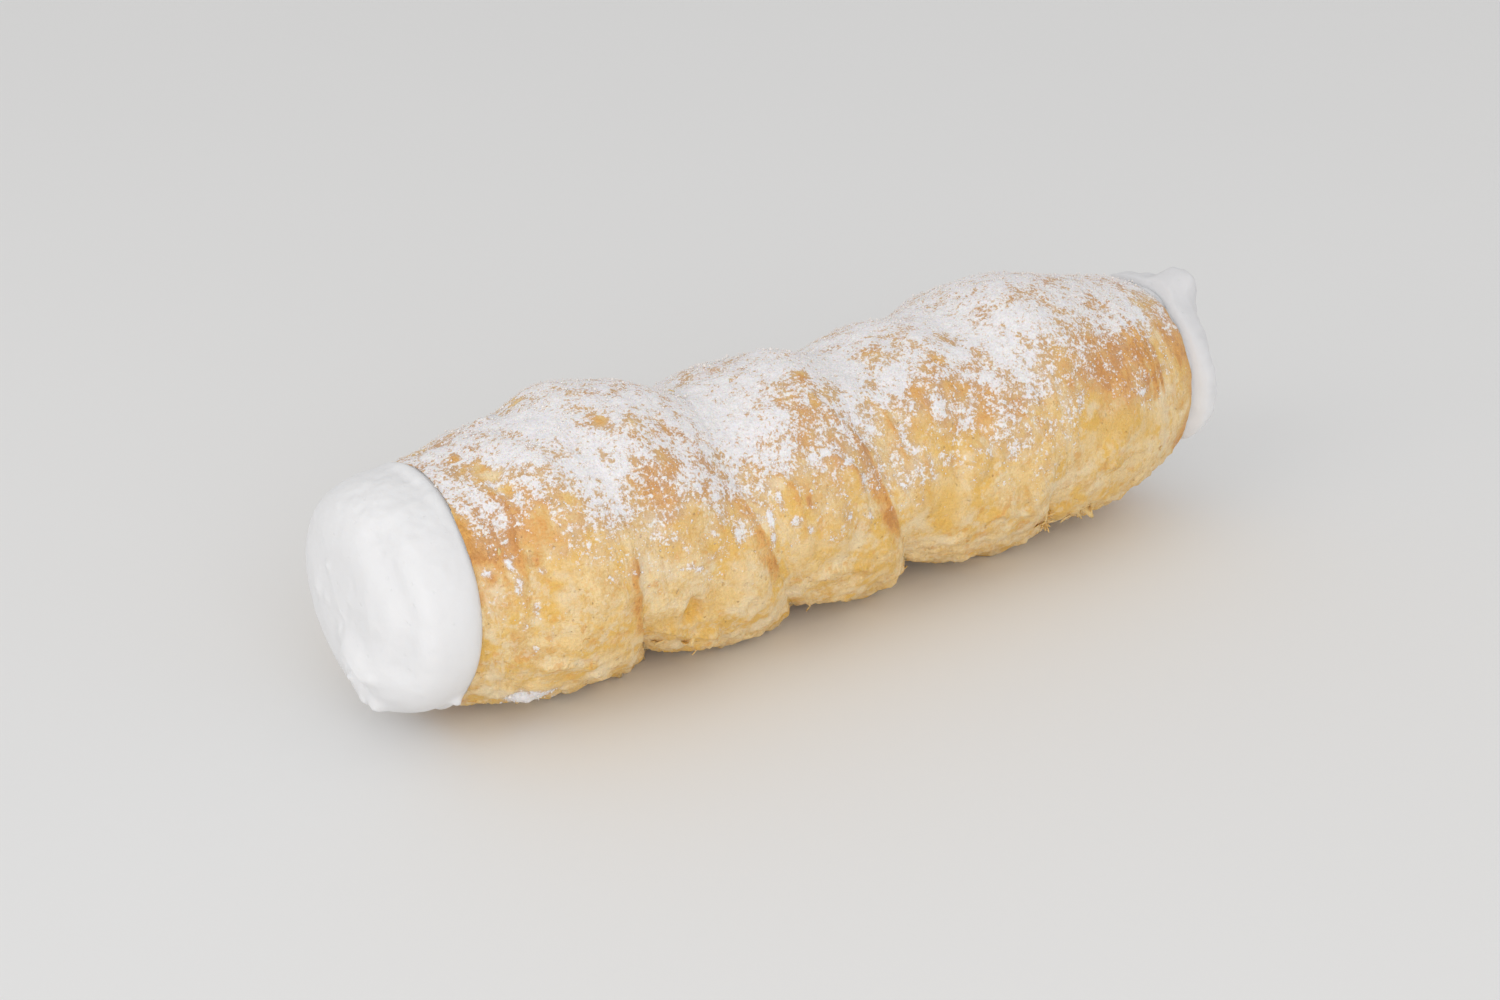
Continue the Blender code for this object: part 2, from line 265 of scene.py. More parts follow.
def crease_line_depth(x, angle):
    """Full depth of the nearest crease."""
    past, depths = from_creases(x, angle)
    nearest = np.abs(past).argmin(axis=0)[None]
    return np.take_along_axis(depths, nearest, axis=0)[0]


def strip_distances(x, angle):
    """Distance to the crease behind a place, to the strip's edge ahead of it, and to the nearer of them."""
    past, _ = from_creases(x, angle)
    behind = np.where(past >= 0, past, FAR).min(axis=0)
    ahead = np.where(past < 0, -past, FAR).min(axis=0)
    return behind, ahead, np.minimum(behind, ahead)


def strip_place(x, angle):
    """Place across the strip: distance along X from the crease that starts it."""
    past, _ = from_creases(x, angle)
    behind = np.where(past >= 0, past, FAR).min(axis=0)
    return np.where(behind < FAR, behind, past[0])


def crest_radius(x, angle):
    upper = curve_through(x, CREST_PLACES, UPPER_CRESTS)
    lower = curve_through(x, CREST_PLACES, LOWER_CRESTS)
    return between_sides(angle, upper, lower)


def crust_waves(x, angle):
    height = np.zeros_like(x)
    for size, along, around, shift in CRUST_WAVES:
        height += size * np.sin(TURN * along * x / ROLL_LENGTH + around * angle + shift)
    return height


def front_mouth(angle):
    """Place along X and radius of the front mouth's outer edge."""
    place = between_sides(angle, FRONT_SLANT, 0) - HALF_LENGTH
    return place, FRONT_MOUTH_RADIUS + swelling(angle, FRONT_FOOT) - swelling(angle, FRONT_DIP)


def back_mouth(angle):
    """Radius of the back mouth's outer edge."""
    return BACK_MOUTH_RADIUS - swelling(angle, BACK_DIP)


def crust_radius(x, angle):
    """Radius of the crust's outer surface, before its fine relief."""
    mouth_place, mouth_radius = front_mouth(angle)
    fold_place, fold_depth, fold_width, fold_angle, fold_spread = FIRST_FOLD
    radius = crest_radius(x, angle) + crust_waves(x, angle)
    radius += swelling(angle, TRAY_SPREAD)
    radius -= crease_depth(x, angle)
    radius -= fold_depth * hill(x - fold_place, fold_width) * bump(angle, fold_angle, fold_spread)
    radius += (mouth_radius - radius) * fade(x - mouth_place, *FRONT_ROUNDING)
    radius += (back_mouth(angle) - radius) * fade(HALF_LENGTH - x, *BACK_ROUNDING)
    return radius


def bore_radius(x):
    radius = BORE_RADIUS
    for mouth, distance in ((FRONT_MOUTH_RADIUS, x + HALF_LENGTH), (BACK_MOUTH_RADIUS, HALF_LENGTH - x)):
        radius = radius + (mouth - LIP_THICKNESS - BORE_RADIUS) * fade(distance, BORE_FLARE, 2)
    return radius


def round_axis(x, radius, angle):
    """Points at a radius and an angle round the roll's axis."""
    y = -radius * np.sin(angle)
    z = AXIS_HEIGHT + radius * np.cos(angle)
    return np.stack(np.broadcast_arrays(x, y, z), axis=-1)


def ring_angles(count):
    return np.arange(count) * TURN / count


def grid_normals(points):
    """Outward normals of a grid of rings: rings from front to back, points towards -Y from the top."""
    along = np.gradient(points, axis=0)
    around = np.roll(points, -1, axis=1) - np.roll(points, 1, axis=1)
    normals = np.cross(around, along)
    return normals / np.maximum(np.linalg.norm(normals, axis=-1, keepdims=True), 1e-9)


# ---- The crust's fine relief, baking and sugar ----

CRUST_ROUND = 300
CRUST_RINGS = 312
LIP_RINGS = 5
BORE_RINGS = 8

CREASE_CLEARANCE = 3.0
FULL_CREASE = 2.5  # a crease of this depth or more is treated as a deep one
CALM_RELIEF = (9, 7)  # how far in from the front and back mouths the relief reaches its full height
CALM_LEAN = (6, 5)
TOP_START = (-0.5, 0.1)  # where the top starts on the far side, in radians
TOP_END = (1.25, 0.5)  # and where it ends on the near side
UNDERSIDE = (-0.3, -0.75)  # heights over which the underside starts, as shares of the radius
TORN_SIDE = (-0.05, -0.6)  # and those over which more layers are torn, and torn layers are thicker
THICK_SIDE = (-0.4, -0.8)
RELIEF_DROP = 0.2  # how far the crust's main form is lowered, so that the relief stands around it
PINCH_DEPTH = 0.12  # the sharp bottom of each crease
LOW_PINCH_DEPTH = 0.5  # and the same on the underside
PINCH_WIDTH = 0.45
VALLEY_FILL = 0.5  # sugar that lies in the creases on top
VALLEY_WIDTH = 2.6
TOP_ROUNDING = 2.6  # how far the bottom of a crease is rounded on top
FLANK_ROUNDING = 1.4  # and half-way down the near side
EDGE_LIP = 0.36  # the strip's raised edge, just ahead of each crease
EDGE_LIP_PLACE = 1.2
EDGE_LIP_WIDTH = 0.75
EDGE_LEAN = 0.7  # how far that edge leans over the crease
LAYER_PITCH = 1.25  # distance between the layer lines
LAYER_HEIGHT = 0.2
LAYER_REACH = 6.5
LUMPS = ((9.0, 0.24), (4.3, 0.12), (2.1, 0.1), (1.2, 0.075))  # size and height of each grade
LUMP_SEED = 40
SMALL_LUMP = 3  # sizes below this count as small
LOW_LUMPS = 2.2  # how much higher the small lumps are on the underside
PLATE_SIZE = 3.6  # the flat scraps that torn layers leave
PLATE_STRETCH = (1, 1.3, 1.3)
PLATE_HEIGHT = 0.2
SUGAR_HEIGHT = 0.1
SUGAR_GRAIN = 0.07
CLUMP_HEIGHT = 0.2
OPEN_CRUST = 9.0  # distance from the creases at which nothing depends on them any more
INNER_VALUES = {"baked": 0.6, "crease": OPEN_CRUST, "ahead": OPEN_CRUST}  # inside the tube; others are 0

# Edges of layers that stand off the crust: the line's places and angles in degrees, height, and how far the
# layer reaches back from its edge.
LAYER_EDGES = (
    (((-10.5, 56), (-7.5, 60), (-4.6, 68), (-3, 78), (-2.8, 90), (-4.5, 102)), 0.42, 3),
    (((-19, 57), (-16.4, 64), (-15.4, 76), (-14.8, 90), (-12.5, 104)), 0.3, 2.4),
    (((-62.5, 8), (-60.2, 34), (-60.6, 62), (-61.6, 84), (-61, 102)), 0.34, 3.4),
    (((-57.5, 30), (-55.5, 46), (-56.5, 60)), 0.2, 2),
    (((-31.5, 64), (-28, 78), (-26.4, 92), (-24.6, 104)), 0.28, 2),
    (((-40, 112), (-36, 120), (-32, 124), (-27, 127)), 1, 3),
    (((-55, -20), (-52.8, -15), (-50.4, -17)), 0.8, 1.6),
    (((-44.5, 70), (-44.8, 88), (-43.4, 108), (-40.5, 122)), 0.22, 2.2),
    (((-13, 116), (-8, 111), (-3, 113), (1, 121)), 0.7, 2.4),
    (((-6.5, 36), (-3.4, 50), (-0.4, 64), (1.4, 82), (3.8, 102)), 0.3, 1.6),
    (((1.9, 33), (3.8, 40), (4.9, 48), (5.7, 60), (6.4, 76), (7.2, 91), (10.3, 108)), 0.3, 1.6),
    (((8.4, 66), (9.2, 84), (11, 104)), 0.2, 1.6),
    (((24.5, 58), (28.6, 68), (30.6, 80)), 0.24, 2),
    (((33, 40), (35, 56), (34.2, 74), (35.6, 96), (38.6, 112)), 0.26, 1.8),
    (((38.6, 44), (38.2, 62), (38, 84), (40, 104)), 0.24, 2.2),
    (((52, 6), (55.4, 28), (57.2, 48), (58.2, 72), (58.8, 92)), 0.3, 1.4),
    (((53.8, 4), (57.2, 28), (58.9, 48), (59.8, 72), (60.4, 90)), 0.26, 1.2),
    (((50.6, 20), (54, 36), (55.8, 56), (56.6, 80)), 0.2, 1.4),
    (((44, 98), (49, 104), (54, 101), (58, 104)), 0.55, 2),
    (((18, 112), (24, 108), (30, 112), (35, 120)), 0.65, 2.4),
    (((-66, 108), (-60, 116), (-53, 118), (-47, 124)), 0.6, 2.4),
    (((-52, -60), (-47, -80), (-44, -100), (-42, -120)), 0.4, 2.6),
    (((-16, -50), (-12, -72), (-9.5, -96), (-8, -116)), 0.4, 2.6),
    (((14, -56), (17, -80), (18, -104)), 0.36, 2.4),
    (((40, -50), (43.5, -76), (45, -100), (46, -120)), 0.4, 2.6),
    (((-34, -84), (-31, -100), (-29.5, -118)), 0.4, 2),
)

SPOT_STRETCH = 0.75  # blisters and pits reach further round the roll than along it
BLISTER_SLOPE = (1.15, 0.35)  # where its side starts and ends, as shares of its radius
PIT_SLOPE = (1.05, 0.45)
# Blisters: place, angle in degrees, radius and height. The first is the large oval one.
BLISTERS = (
    (18, 78, 3, 0.85), (-55, 92, 2.6, 0.3), (-34.5, 88, 3.2, 0.3), (-9, 92, 3.4, 0.4),
    (24, 104, 2.6, 0.3), (47, 96, 3, 0.3), (-12, -80, 3, 0.4), (30, -70, 3.2, 0.35),
    (-40, -95, 2.8, 0.35), (52, -100, 2.6, 0.3),
)
# Pits where a flake has come away: place, angle in degrees, radius and depth.
PITS = (
    (-34.4, 109, 1.9, 1.1), (-59.2, 67, 0.9, 0.45), (-3.5, 118, 1.5, 0.6), (-24, 112, 1.2, 0.5),
    (28.5, 106, 0.9, 0.4), (45.5, 100, 0.9, 0.35), (-46, -105, 1.4, 0.6), (12, -110, 1.5, 0.7),
    (41, -92, 1.1, 0.5),
)

# Torn edges where more shreds hang off: place, angle in degrees, half length, half width and strength.
TORN_EDGES = (
    (45, 130, 2.2, 5, 1), (37.5, 132, 2.4, 5, 0.6), (-34, 132, 3, 5, 0.5),
)
TORN_CHANCE = 90  # how much more likely a shred is there
UPPER_CHANCE = 0.05  # how likely it is on the upper half
SHRED_FOOT = 1.0  # the least height above the floor of a shred's root
SHRED_LENGTHS = (0.8, 2.2)
SHRED_WIDTHS = (0.6, 1.4)
SHRED_TILTS = (0.02, 0.2)
SHRED_CURLS = (-0.15, 0.12)
SHRED_GRID = (5, 3)  # points along and across a shred
GRAIN_RADII = (0.06, 0.34)  # least and most of the loose sugar grains
GRAIN_SCATTER = 0.24  # how far a grain may lie from the middle of its face

# How strongly each stretch of the roll is browned, the sides that brown most, and where the sugar ends.
BROWN_PLACES = (-68, -58, -50, -38, -30, -18, -6, 6, 18, 26, 34, 44, 52, 64)
BROWN_SIDES = ((1.0, 48, 26), (1.0, -62, 34), (0.8, 0, 38))
BROWN_TRAY = (1.0, 180, 20)
FRONT_RIM = (2.8, 1.2)  # how far in from each mouth its browned rim ends and is in full
BACK_RIM = (4.0, 0.5)
BROWN_STRENGTHS = (0.85, 0.8, 0.6, 0.75, 0.8, 0.7, 0.75, 0.6, 0.75, 0.85, 0.7, 1.0, 1.1, 0.95)
SUGAR_PLACES = (-68, -60, -52, -45, -38, -30, -22, -15, -6, 2, 10, 20, 29, 36, 44, 54, 66)
SUGAR_ENDS = (42, 38, 48, 58, 55, 58, 60, 55, 58, 52, 58, 53, 61, 57, 44, 42, 30)
SUGAR_WOBBLE = 6
BARE_LIP = (0.6, 1.8)  # no sugar at the front lip up to the first distance, and all of it at the second
# How much sugar there is at so many degrees below its end.
SUGAR_BELOW = (-45, -28, -10, 0, 12, 26, 40, 55)
SUGAR_COVERS = (0.62, 0.61, 0.57, 0.47, 0.35, 0.26, 0.12, 0.0)

# Spots on the crust: place along the roll, angle in degrees, half length, half width in degrees, strength.
BROWN_SPOTS = (
    (-65.7, 70, 1, 4, 0.9), (-66.5, 49, 1, 4, 0.85), (-58.8, 63, 0.9, 4, 0.9), (-52.8, -15, 1.2, 4, 1),
    (-59.2, 66, 1, 5, 0.95), (-66, 73, 1, 3, 0.75), (-63, 97, 1.6, 9, 0.5), (-60.5, 108, 1.6, 5, 0.55),
    (-52.5, 106, 0.9, 4, 0.6), (-48, 113, 1, 5, 0.6), (-50.5, 84, 0.8, 3, 0.5),
    (-39.5, 66, 2.4, 8, 0.5), (-31, 60, 4, 7, 0.75), (-35, 57, 4, 7, 0.7), (-16.5, 61, 2.4, 5, 0.85),
    (-14, 72, 1, 12, 0.75), (-12.5, 88, 0.9, 7, 0.55), (-7, 88, 1, 3, 0.5), (-2, 113, 1.2, 4, 0.65),
    (-6, 25, 2, 7, 0.85), (-7, 42, 2.2, 10, 0.75), (15, 26, 4, 8, 0.8), (22, 24, 3, 6, 0.8),
    (14, 48, 5, 8, 0.75), (26.5, 62, 3.4, 7, 0.9), (30.5, 71, 1.2, 5, 1), (15, 66, 5, 5, 0.65),
    (27.5, 99, 0.9, 4, 0.75), (22, 109, 0.9, 4, 0.5), (47.5, 53, 7, 14, 0.95), (56, 60, 3, 12, 0.9),
    (40, 55, 3, 9, 0.7), (52, 82, 1, 3, 0.6), (62.5, 66, 1.8, 18, 0.9), (44.5, 100, 0.9, 3, 0.6),
    (36.5, 100, 0.8, 6, 0.5),
)
YELLOW_SPOTS = (
    (12.5, 96, 2.6, 13, 1.3), (9, 92, 4, 9, 0.6), (-30, 106, 5, 8, 0.6), (-38, 112, 3, 6, 0.6),
    (8, 82, 2, 9, 0.6), (48, 84, 8, 8, 0.8), (55, 90, 4, 8, 0.7), (-34.4, 109, 1.5, 4.5, 1.5),
    (-56, 108, 3, 8, 0.45), (-13, 98, 3, 8, 0.4), (28, 92, 4, 9, 0.45), (-28, 98, 3, 8, 0.4),
    (20, -95, 6, 12, 0.7), (-30, -100, 6, 10, 0.6), (-58, -90, 4, 12, 0.6), (50, -85, 5, 10, 0.7),
)
# Bands along the creases: turn, from and to angle in degrees, width and strength. The first are browned
# stretches of the strip's edge. The others are pale dough that the strip before it kept the heat off.
BROWN_EDGES = (
    (0, 60, 130, 3.15, 0.4), (1, 74, 114, 3.15, 0.6), (2, 48, 104, 3.15, 1.1), (3, 34, 106, 3.15, 1.1),
    (4, 5, 84, 3.15, 0.25), (1, 215, 320, 3.15, 0.8), (2, 215, 320, 3.15, 0.9),
    (3, 215, 320, 3.15, 0.8), (0, 235, 320, 3.15, 0.7), (4, 215, 320, 3.15, 0.6),
)
PALE_BANDS = (
    (1, 56, 124, 4, 0.7), (2, 50, 124, 5.5, 0.8), (3, 30, 128, 6, 0.9), (4, 30, 124, 5.5, 0.8),
    (5, 20, 120, 4, 0.6), (1, 200, 330, 5, 0.7), (2, 200, 330, 5, 0.7), (3, 200, 330, 5, 0.7),
)
BAND_END = 0.2  # how softly they end round the roll, in radians
PALE_SIDES = ((-0.2, 0.4), 1.5)  # start and softness
BROWN_EDGE_SIDES = ((-0.1, 0.5), 1.65)
# Patches where there is no sugar.
BARE_PATCHES = (
    (-69, 16, 1.6, 13, 0.75), (-68.4, 34, 1.4, 9, 0.95), (-67.4, 47, 1.3, 8, 0.95),
    (-61.8, 6, 1.3, 7, 0.9), (-60.2, 18, 1.3, 7, 0.95), (-59.3, 30, 1.3, 7, 0.95),
    (-58.3, 42, 1.5, 7, 0.95), (-56.8, 53, 1.8, 7, 0.8), (-66, 62, 2, 7, 0.35), (2, 2, 2.4, 6, 0.3),
    (9, 15, 2.4, 8, 0.4), (17, 16, 3, 6, 0.4), (-51.8, 50, 2, 5, 0.3), (-48, -20, 3, 12, 0.7),
    (-41.5, 21, 1.8, 4, 0.4), (-38, 27, 1.4, 3, 0.4), (-32.5, 34, 2, 4, 0.4), (-24, -6, 3, 6, 0.25),
    (-5.8, 24, 1.5, 5, 0.7), (-9.5, 34, 1, 5, 0.3), (-7.2, 41, 0.9, 9, 0.55), (-3.6, 47, 1.2, 12, 0.6),
    (-12, 30, 1.2, 3, 0.3), (8.5, 6, 2, 4, 0.35), (11.5, 22, 2.2, 5, 0.45), (16, 31, 2.6, 5, 0.4),
    (22, 22, 2.2, 5, 0.5), (11, 42, 2, 7, 0.45), (17.5, 47, 2.4, 5, 0.35), (25, 36, 1.8, 5, 0.3),
    (30, 4, 2.6, 5, 0.25), (48, 0, 2.6, 5, 0.35), (42, 12, 2.6, 5, 0.25), (58, 8, 2.6, 6, 0.35),
    (50, 26, 3, 5, 0.25), (62, 20, 1.8, 9, 0.35), (16, -40, 3, 8, 0.4), (-8, -46, 3, 8, 0.4),
    (44, -38, 3, 8, 0.4), (-38, -44, 3, 7, 0.4),
)
# Sugar that lies in folds and on ledges below.
SUGAR_SPOTS = (
    (-64.5, 20, 1.8, 4, 0.75), (-64.6, 30, 1, 8, 0.62), (-63.2, 40, 0.9, 7, 0.62),
    (-62.4, 51, 1.2, 8, 0.72), (-62.3, 63, 1.1, 8, 0.7), (-62, 77, 0.9, 8, 0.64),
    (-65.8, 67, 1, 3, 0.7), (-60.1, 88, 0.8, 4, 0.6), (-60.4, 108, 1, 5, 0.55),
    (-59.3, 50, 0.6, 4, 0.8), (-58.4, 72, 0.7, 2.5, 0.85), (-62, 92, 1, 8, 0.42),
    (-58, 100, 0.7, 5, 0.45), (-43, 62, 1.2, 12, 0.42), (-36.3, 86, 1.2, 2, 0.8),
    (-34.2, 88, 1, 1.5, 0.75), (-29.3, 62, 1.4, 4, 0.95), (-32, 57, 1, 3, 0.8),
    (-20.7, 80, 0.7, 10, 0.9), (-18.6, 72, 0.9, 9, 0.5), (-16.8, 82, 1.6, 3, 0.7),
    (-14.2, 86, 0.9, 3, 0.65), (-8.8, 58, 1.6, 2, 0.9), (-5.6, 64, 1.4, 2.5, 0.8),
    (-3.6, 74, 1, 5, 0.75), (-2.8, 86, 0.9, 6, 0.55), (-7, 86, 1, 1.5, 0.7), (1.6, 50, 1.4, 14, 0.5),
    (4.4, 78, 0.8, 12, 0.42), (8, 62, 0.9, 8, 0.4), (14.5, 56, 1.1, 3, 0.9), (18.5, 75, 2.4, 2.5, 0.5),
    (15.4, 80, 0.6, 8, 0.5), (20.8, 80, 0.6, 8, 0.42), (24.5, 56, 1.2, 3, 0.75),
    (33.8, 54, 1, 10, 0.65), (36.2, 70, 0.9, 9, 0.5), (39.5, 66, 0.8, 6, 0.5),
    (53.6, 72, 1.2, 2.2, 0.85), (49, 66, 1.2, 2, 0.6), (44, 46, 1.2, 3, 0.75), (57, 40, 0.7, 16, 0.6),
    (58.6, 52, 0.5, 14, 0.5), (-58, 142, 4.2, 8, 1.2), (-20, -84, 1.4, 8, 0.7), (5, -76, 1.8, 5, 0.65),
    (34, -66, 1.2, 10, 0.65),
)


def in_spots(x, angle, spots):
    """The strongest of a list of soft oval spots at each place, from 0 to their strength."""
    found = np.zeros_like(x)
    for place, degrees, half_length, half_width, strength in spots:
        away = angle_from(angle, math.radians(degrees)) / math.radians(half_width)
        found = np.maximum(found, strength * np.exp(-((x - place) / half_length) ** 2 - away ** 2))
    return found


def round_spot(x, angle, spot):
    """Distance from a spot's centre over the crust, as a share of the spot's radius."""
    place, degrees, radius, _ = spot
    across = angle_from(angle, math.radians(degrees)) * MEAN_RADIUS
    return np.hypot(x - place, across * SPOT_STRETCH) / radius


def along_path(points, path):
    """Distance from points of a plane to a path, the side that they are on, and their share of its way."""
    corners = [np.array(corner, float) for corner in path]
    lengths = [np.linalg.norm(end - start) for start, end in zip(corners, corners[1:])]
    nearest = np.full(points.shape[:-1], np.inf)
    side = np.zeros_like(nearest)
    travelled = np.zeros_like(nearest)
    for number, (start, end) in enumerate(zip(corners, corners[1:])):
        run = end - start
        share = np.clip((points - start) @ run / (run @ run), 0, 1)
        away = points - start - share[..., None] * run
        distance = np.linalg.norm(away, axis=-1)
        closer = distance < nearest
        turned = np.sign(run[1] * away[..., 0] - run[0] * away[..., 1]) * np.sign(run[1] or 1)
        nearest = np.where(closer, distance, nearest)
        side = np.where(closer, turned, side)
        travelled = np.where(closer, sum(lengths[:number]) + share * lengths[number], travelled)
    return nearest, side, travelled / sum(lengths)


def layer_edge(x, angle, line):
    """Signed distance to a layer's edge, above 0 beyond it, and how fully the layer stands there."""
    points = np.stack([x, angle_from(angle, 0) * MEAN_RADIUS], axis=-1)
    path = [(place, math.radians(degrees) * MEAN_RADIUS) for place, degrees in line]
    distance, side, share = along_path(points, path)
    return distance * side, smoothstep(0, 0.22, share) * smoothstep(1, 0.78, share)


def layer_edges(x, angle, base):
    """Height of all layers that stand off, and how near a place is to an edge, or to the gap beyond it."""
    height = np.zeros_like(x)
    rim = np.zeros_like(x)
    gap = np.zeros_like(x)
    ragged = 0.35 * noise(base, 2.2, 65) + 0.15 * noise(base, 0.9, 66)
    for line, rise, reach in LAYER_EDGES:
        distance, full = layer_edge(x, angle, line)
        distance = distance + ragged
        back = np.clip(1 + distance / reach, 0, 1) ** 1.5 * (distance < 0)
        front = smoothstep(0.55, 0.0, distance) * (distance >= 0)
        height = np.maximum(height, rise * full * (back + front))
        rim = np.maximum(rim, full * hill(distance + 0.35, 0.6))
        gap = np.maximum(gap, full * hill(distance - 0.7, 0.5))
    return height, rim, gap


def terraces(x, angle, base, crease):
    """Fine layer lines that follow the strip, from -0.5 to 0.5, and how strong they are."""
    wander = 0.6 * noise(base, 7.0, 32) + 0.35 * noise(base, 2.6, 33)
    saw = (strip_place(x, angle) / LAYER_PITCH + wander) % 1
    line = smoothstep(0, 0.72, saw) - smoothstep(0.72, 1.0, saw) - 0.5
    off_crease = smoothstep(0.3, 1.2, crease)
    near = off_crease * (1 - smoothstep(0.45 * LAYER_REACH, LAYER_REACH, crease))
    patchy = smoothstep(0.1, 0.6, noise(base, 5.0, 35)) * off_crease
    return line, np.maximum(near * (0.5 + 0.5 * noise(base, 6.0, 36)), 0.75 * patchy)


def edge_side(angle):
    """How sharply the strip's edges show: most on the lower sides, little on top and on the near flank."""
    below = 0.1 + 0.9 * smoothstep(0.8, 0.25, np.cos(angle))
    return below * (1 - 0.7 * bump(angle, *FLANK))


def crease_rounding(x, angle, crease, width):
    """Height that takes the sharp bottom out of the nearest crease."""
    rise = RISE_POWER / between_sides(angle, *RISE_WIDTHS)
    edge = EDGE_POWER / between_sides(angle, *EDGE_WIDTHS)
    slope = crease_line_depth(x, angle) * ease(angle) * (rise + edge) / 2
    return slope * width * np.exp(-crease / width)


def calm_mouths(x, front, back):
    """0 at both mouths and 1 further in, over the given distances."""
    return smoothstep(0, front, x + HALF_LENGTH) * smoothstep(0, back, HALF_LENGTH - x)


def crust_relief(x, angle, base):
    """Height of the relief over the crust's main form, and how near a place is to a layer's rim or gap."""
    _, ahead, crease = strip_distances(x, angle)
    calm = calm_mouths(x, *CALM_RELIEF)
    side = edge_side(angle)
    flank = bump(angle, *FLANK)
    from_top = angle_from(angle, 0)
    on_top = smoothstep(*TOP_START, from_top) * smoothstep(*TOP_END, from_top)
    low = smoothstep(*UNDERSIDE, np.cos(angle))

    pinch = side * (PINCH_DEPTH + (LOW_PINCH_DEPTH - PINCH_DEPTH) * low)
    height = -RELIEF_DROP * calm - pinch * np.exp(-crease / PINCH_WIDTH) * calm
    valley = np.minimum(crease_line_depth(x, angle) / FULL_CREASE, 1) * hill(crease, VALLEY_WIDTH)
    height += VALLEY_FILL * valley * np.maximum(on_top, 0.3 * (np.cos(angle) > 0))
    height += crease_rounding(x, angle, crease, TOP_ROUNDING) * on_top * (1 - flank)
    height += crease_rounding(x, angle, crease, FLANK_ROUNDING) * flank
    uneven = 0.65 + 0.5 * noise(base, 7.0, 31)
    height += EDGE_LIP * side * hill(ahead - EDGE_LIP_PLACE, EDGE_LIP_WIDTH) * uneven * calm

    line, strength = terraces(x, angle, base, crease)
    height += LAYER_HEIGHT * line * strength * (0.25 + 0.75 * side)
    for number, (size, rise) in enumerate(LUMPS):
        higher = 1 + LOW_LUMPS * low * (size < SMALL_LUMP)
        height += rise * noise(base, size, LUMP_SEED + number) * higher
    for blister in BLISTERS:
        away = round_spot(x, angle, blister)
        height += blister[3] * (smoothstep(*BLISTER_SLOPE, away) - 0.45 * hill(away - 1.2, 0.22))
    for pit in PITS:
        away = round_spot(x, angle, pit) + 0.25 * noise(base, 1.3, 51)
        height += pit[3] * (0.3 * hill(away - 1.25, 0.25) - smoothstep(*PIT_SLOPE, away))

    torn = noise(base, 11.0, 61) + 0.7 * smoothstep(*TORN_SIDE, np.cos(angle)) - 0.1
    value, border = plates(base * np.array(PLATE_STRETCH), PLATE_SIZE, 62)
    thick = PLATE_HEIGHT * (0.45 + 0.55 * smoothstep(*THICK_SIDE, np.cos(angle)))
    thick = thick * smoothstep(0.05, 0.5, torn)
    height += thick * (value * smoothstep(0.0, 0.5, border) - 0.25 * hill(border, 0.25))
    standing, rim, gap = layer_edges(x, angle, base)
    rim = np.maximum(rim, 0.8 * strength * hill(line - 0.5, 0.22) * side)
    gap = np.maximum(gap, 0.6 * strength * hill(line + 0.5, 0.2) * side)
    return height + standing, rim, gap


def crease_bands(x, angle, bands, side, start, softness):
    """Soft bands along the creases, just past them (side 1) or just before them (side -1).

    They start between two distances, and end around their widths, give or take the softness."""
    found = np.zeros_like(x)
    for turn, first, last, width, strength in bands:
        out = side * (x - crease_line(angle, turn)[0])
        middle, half = math.radians((first + last) / 2), math.radians((last - first) / 2)
        along = smoothstep(half + BAND_END, half - BAND_END, np.abs(angle - middle))
        across = smoothstep(*start, out) * smoothstep(width + softness, width - softness, out)
        found = np.maximum(found, strength * along * across)
    return found


def baking(x, angle, base, rim, gap):
    """How brown the crust is, from 0 for pale dough to 1. Layers' rims brown more, and gaps stay pale."""
    behind, ahead, _ = strip_distances(x, angle)
    depth = np.minimum(crease_depth(x, angle) / 2.2, 1)
    depth = depth * smoothstep(6.0, 2.0, np.minimum(behind, ahead + 1.5))
    profile = 0.06 + 0.94 * np.maximum.reduce([swelling(angle, side) for side in BROWN_SIDES])
    brown = profile * curve_through(x, BROWN_PLACES, BROWN_STRENGTHS) * (1 - 0.8 * depth)
    brown += 0.2 * layered_noise(base, 6.0, 73) * (0.4 + profile)
    brown = np.maximum(brown, in_spots(x, angle, BROWN_SPOTS) * (0.95 + 0.35 * noise(base, 2.0, 75)))
    pale = crease_bands(x, angle, PALE_BANDS, 1, *PALE_SIDES)
    brown *= 1 - pale * (0.8 + 0.3 * noise(base, 3.5, 78))
    edges = crease_bands(x, angle, BROWN_EDGES, -1, *BROWN_EDGE_SIDES)
    brown = np.maximum(brown, edges * (0.85 + 0.35 * noise(base, 3.0, 76)))
    brown += 0.34 * rim - 0.25 * gap
    front_rim = 0.6 * smoothstep(*FRONT_RIM, x + HALF_LENGTH) * smoothstep(0.7, 0.2, np.cos(angle))
    ends = np.maximum(front_rim, smoothstep(*BACK_RIM, HALF_LENGTH - x))
    brown = np.maximum(brown, ends * (0.7 + 0.3 * noise(base, 4.0, 72)))
    tray = swelling(angle, BROWN_TRAY) * (0.5 + 0.2 * noise(base, 8.0, 74))
    return np.clip(np.maximum(brown, tray), 0, 1)


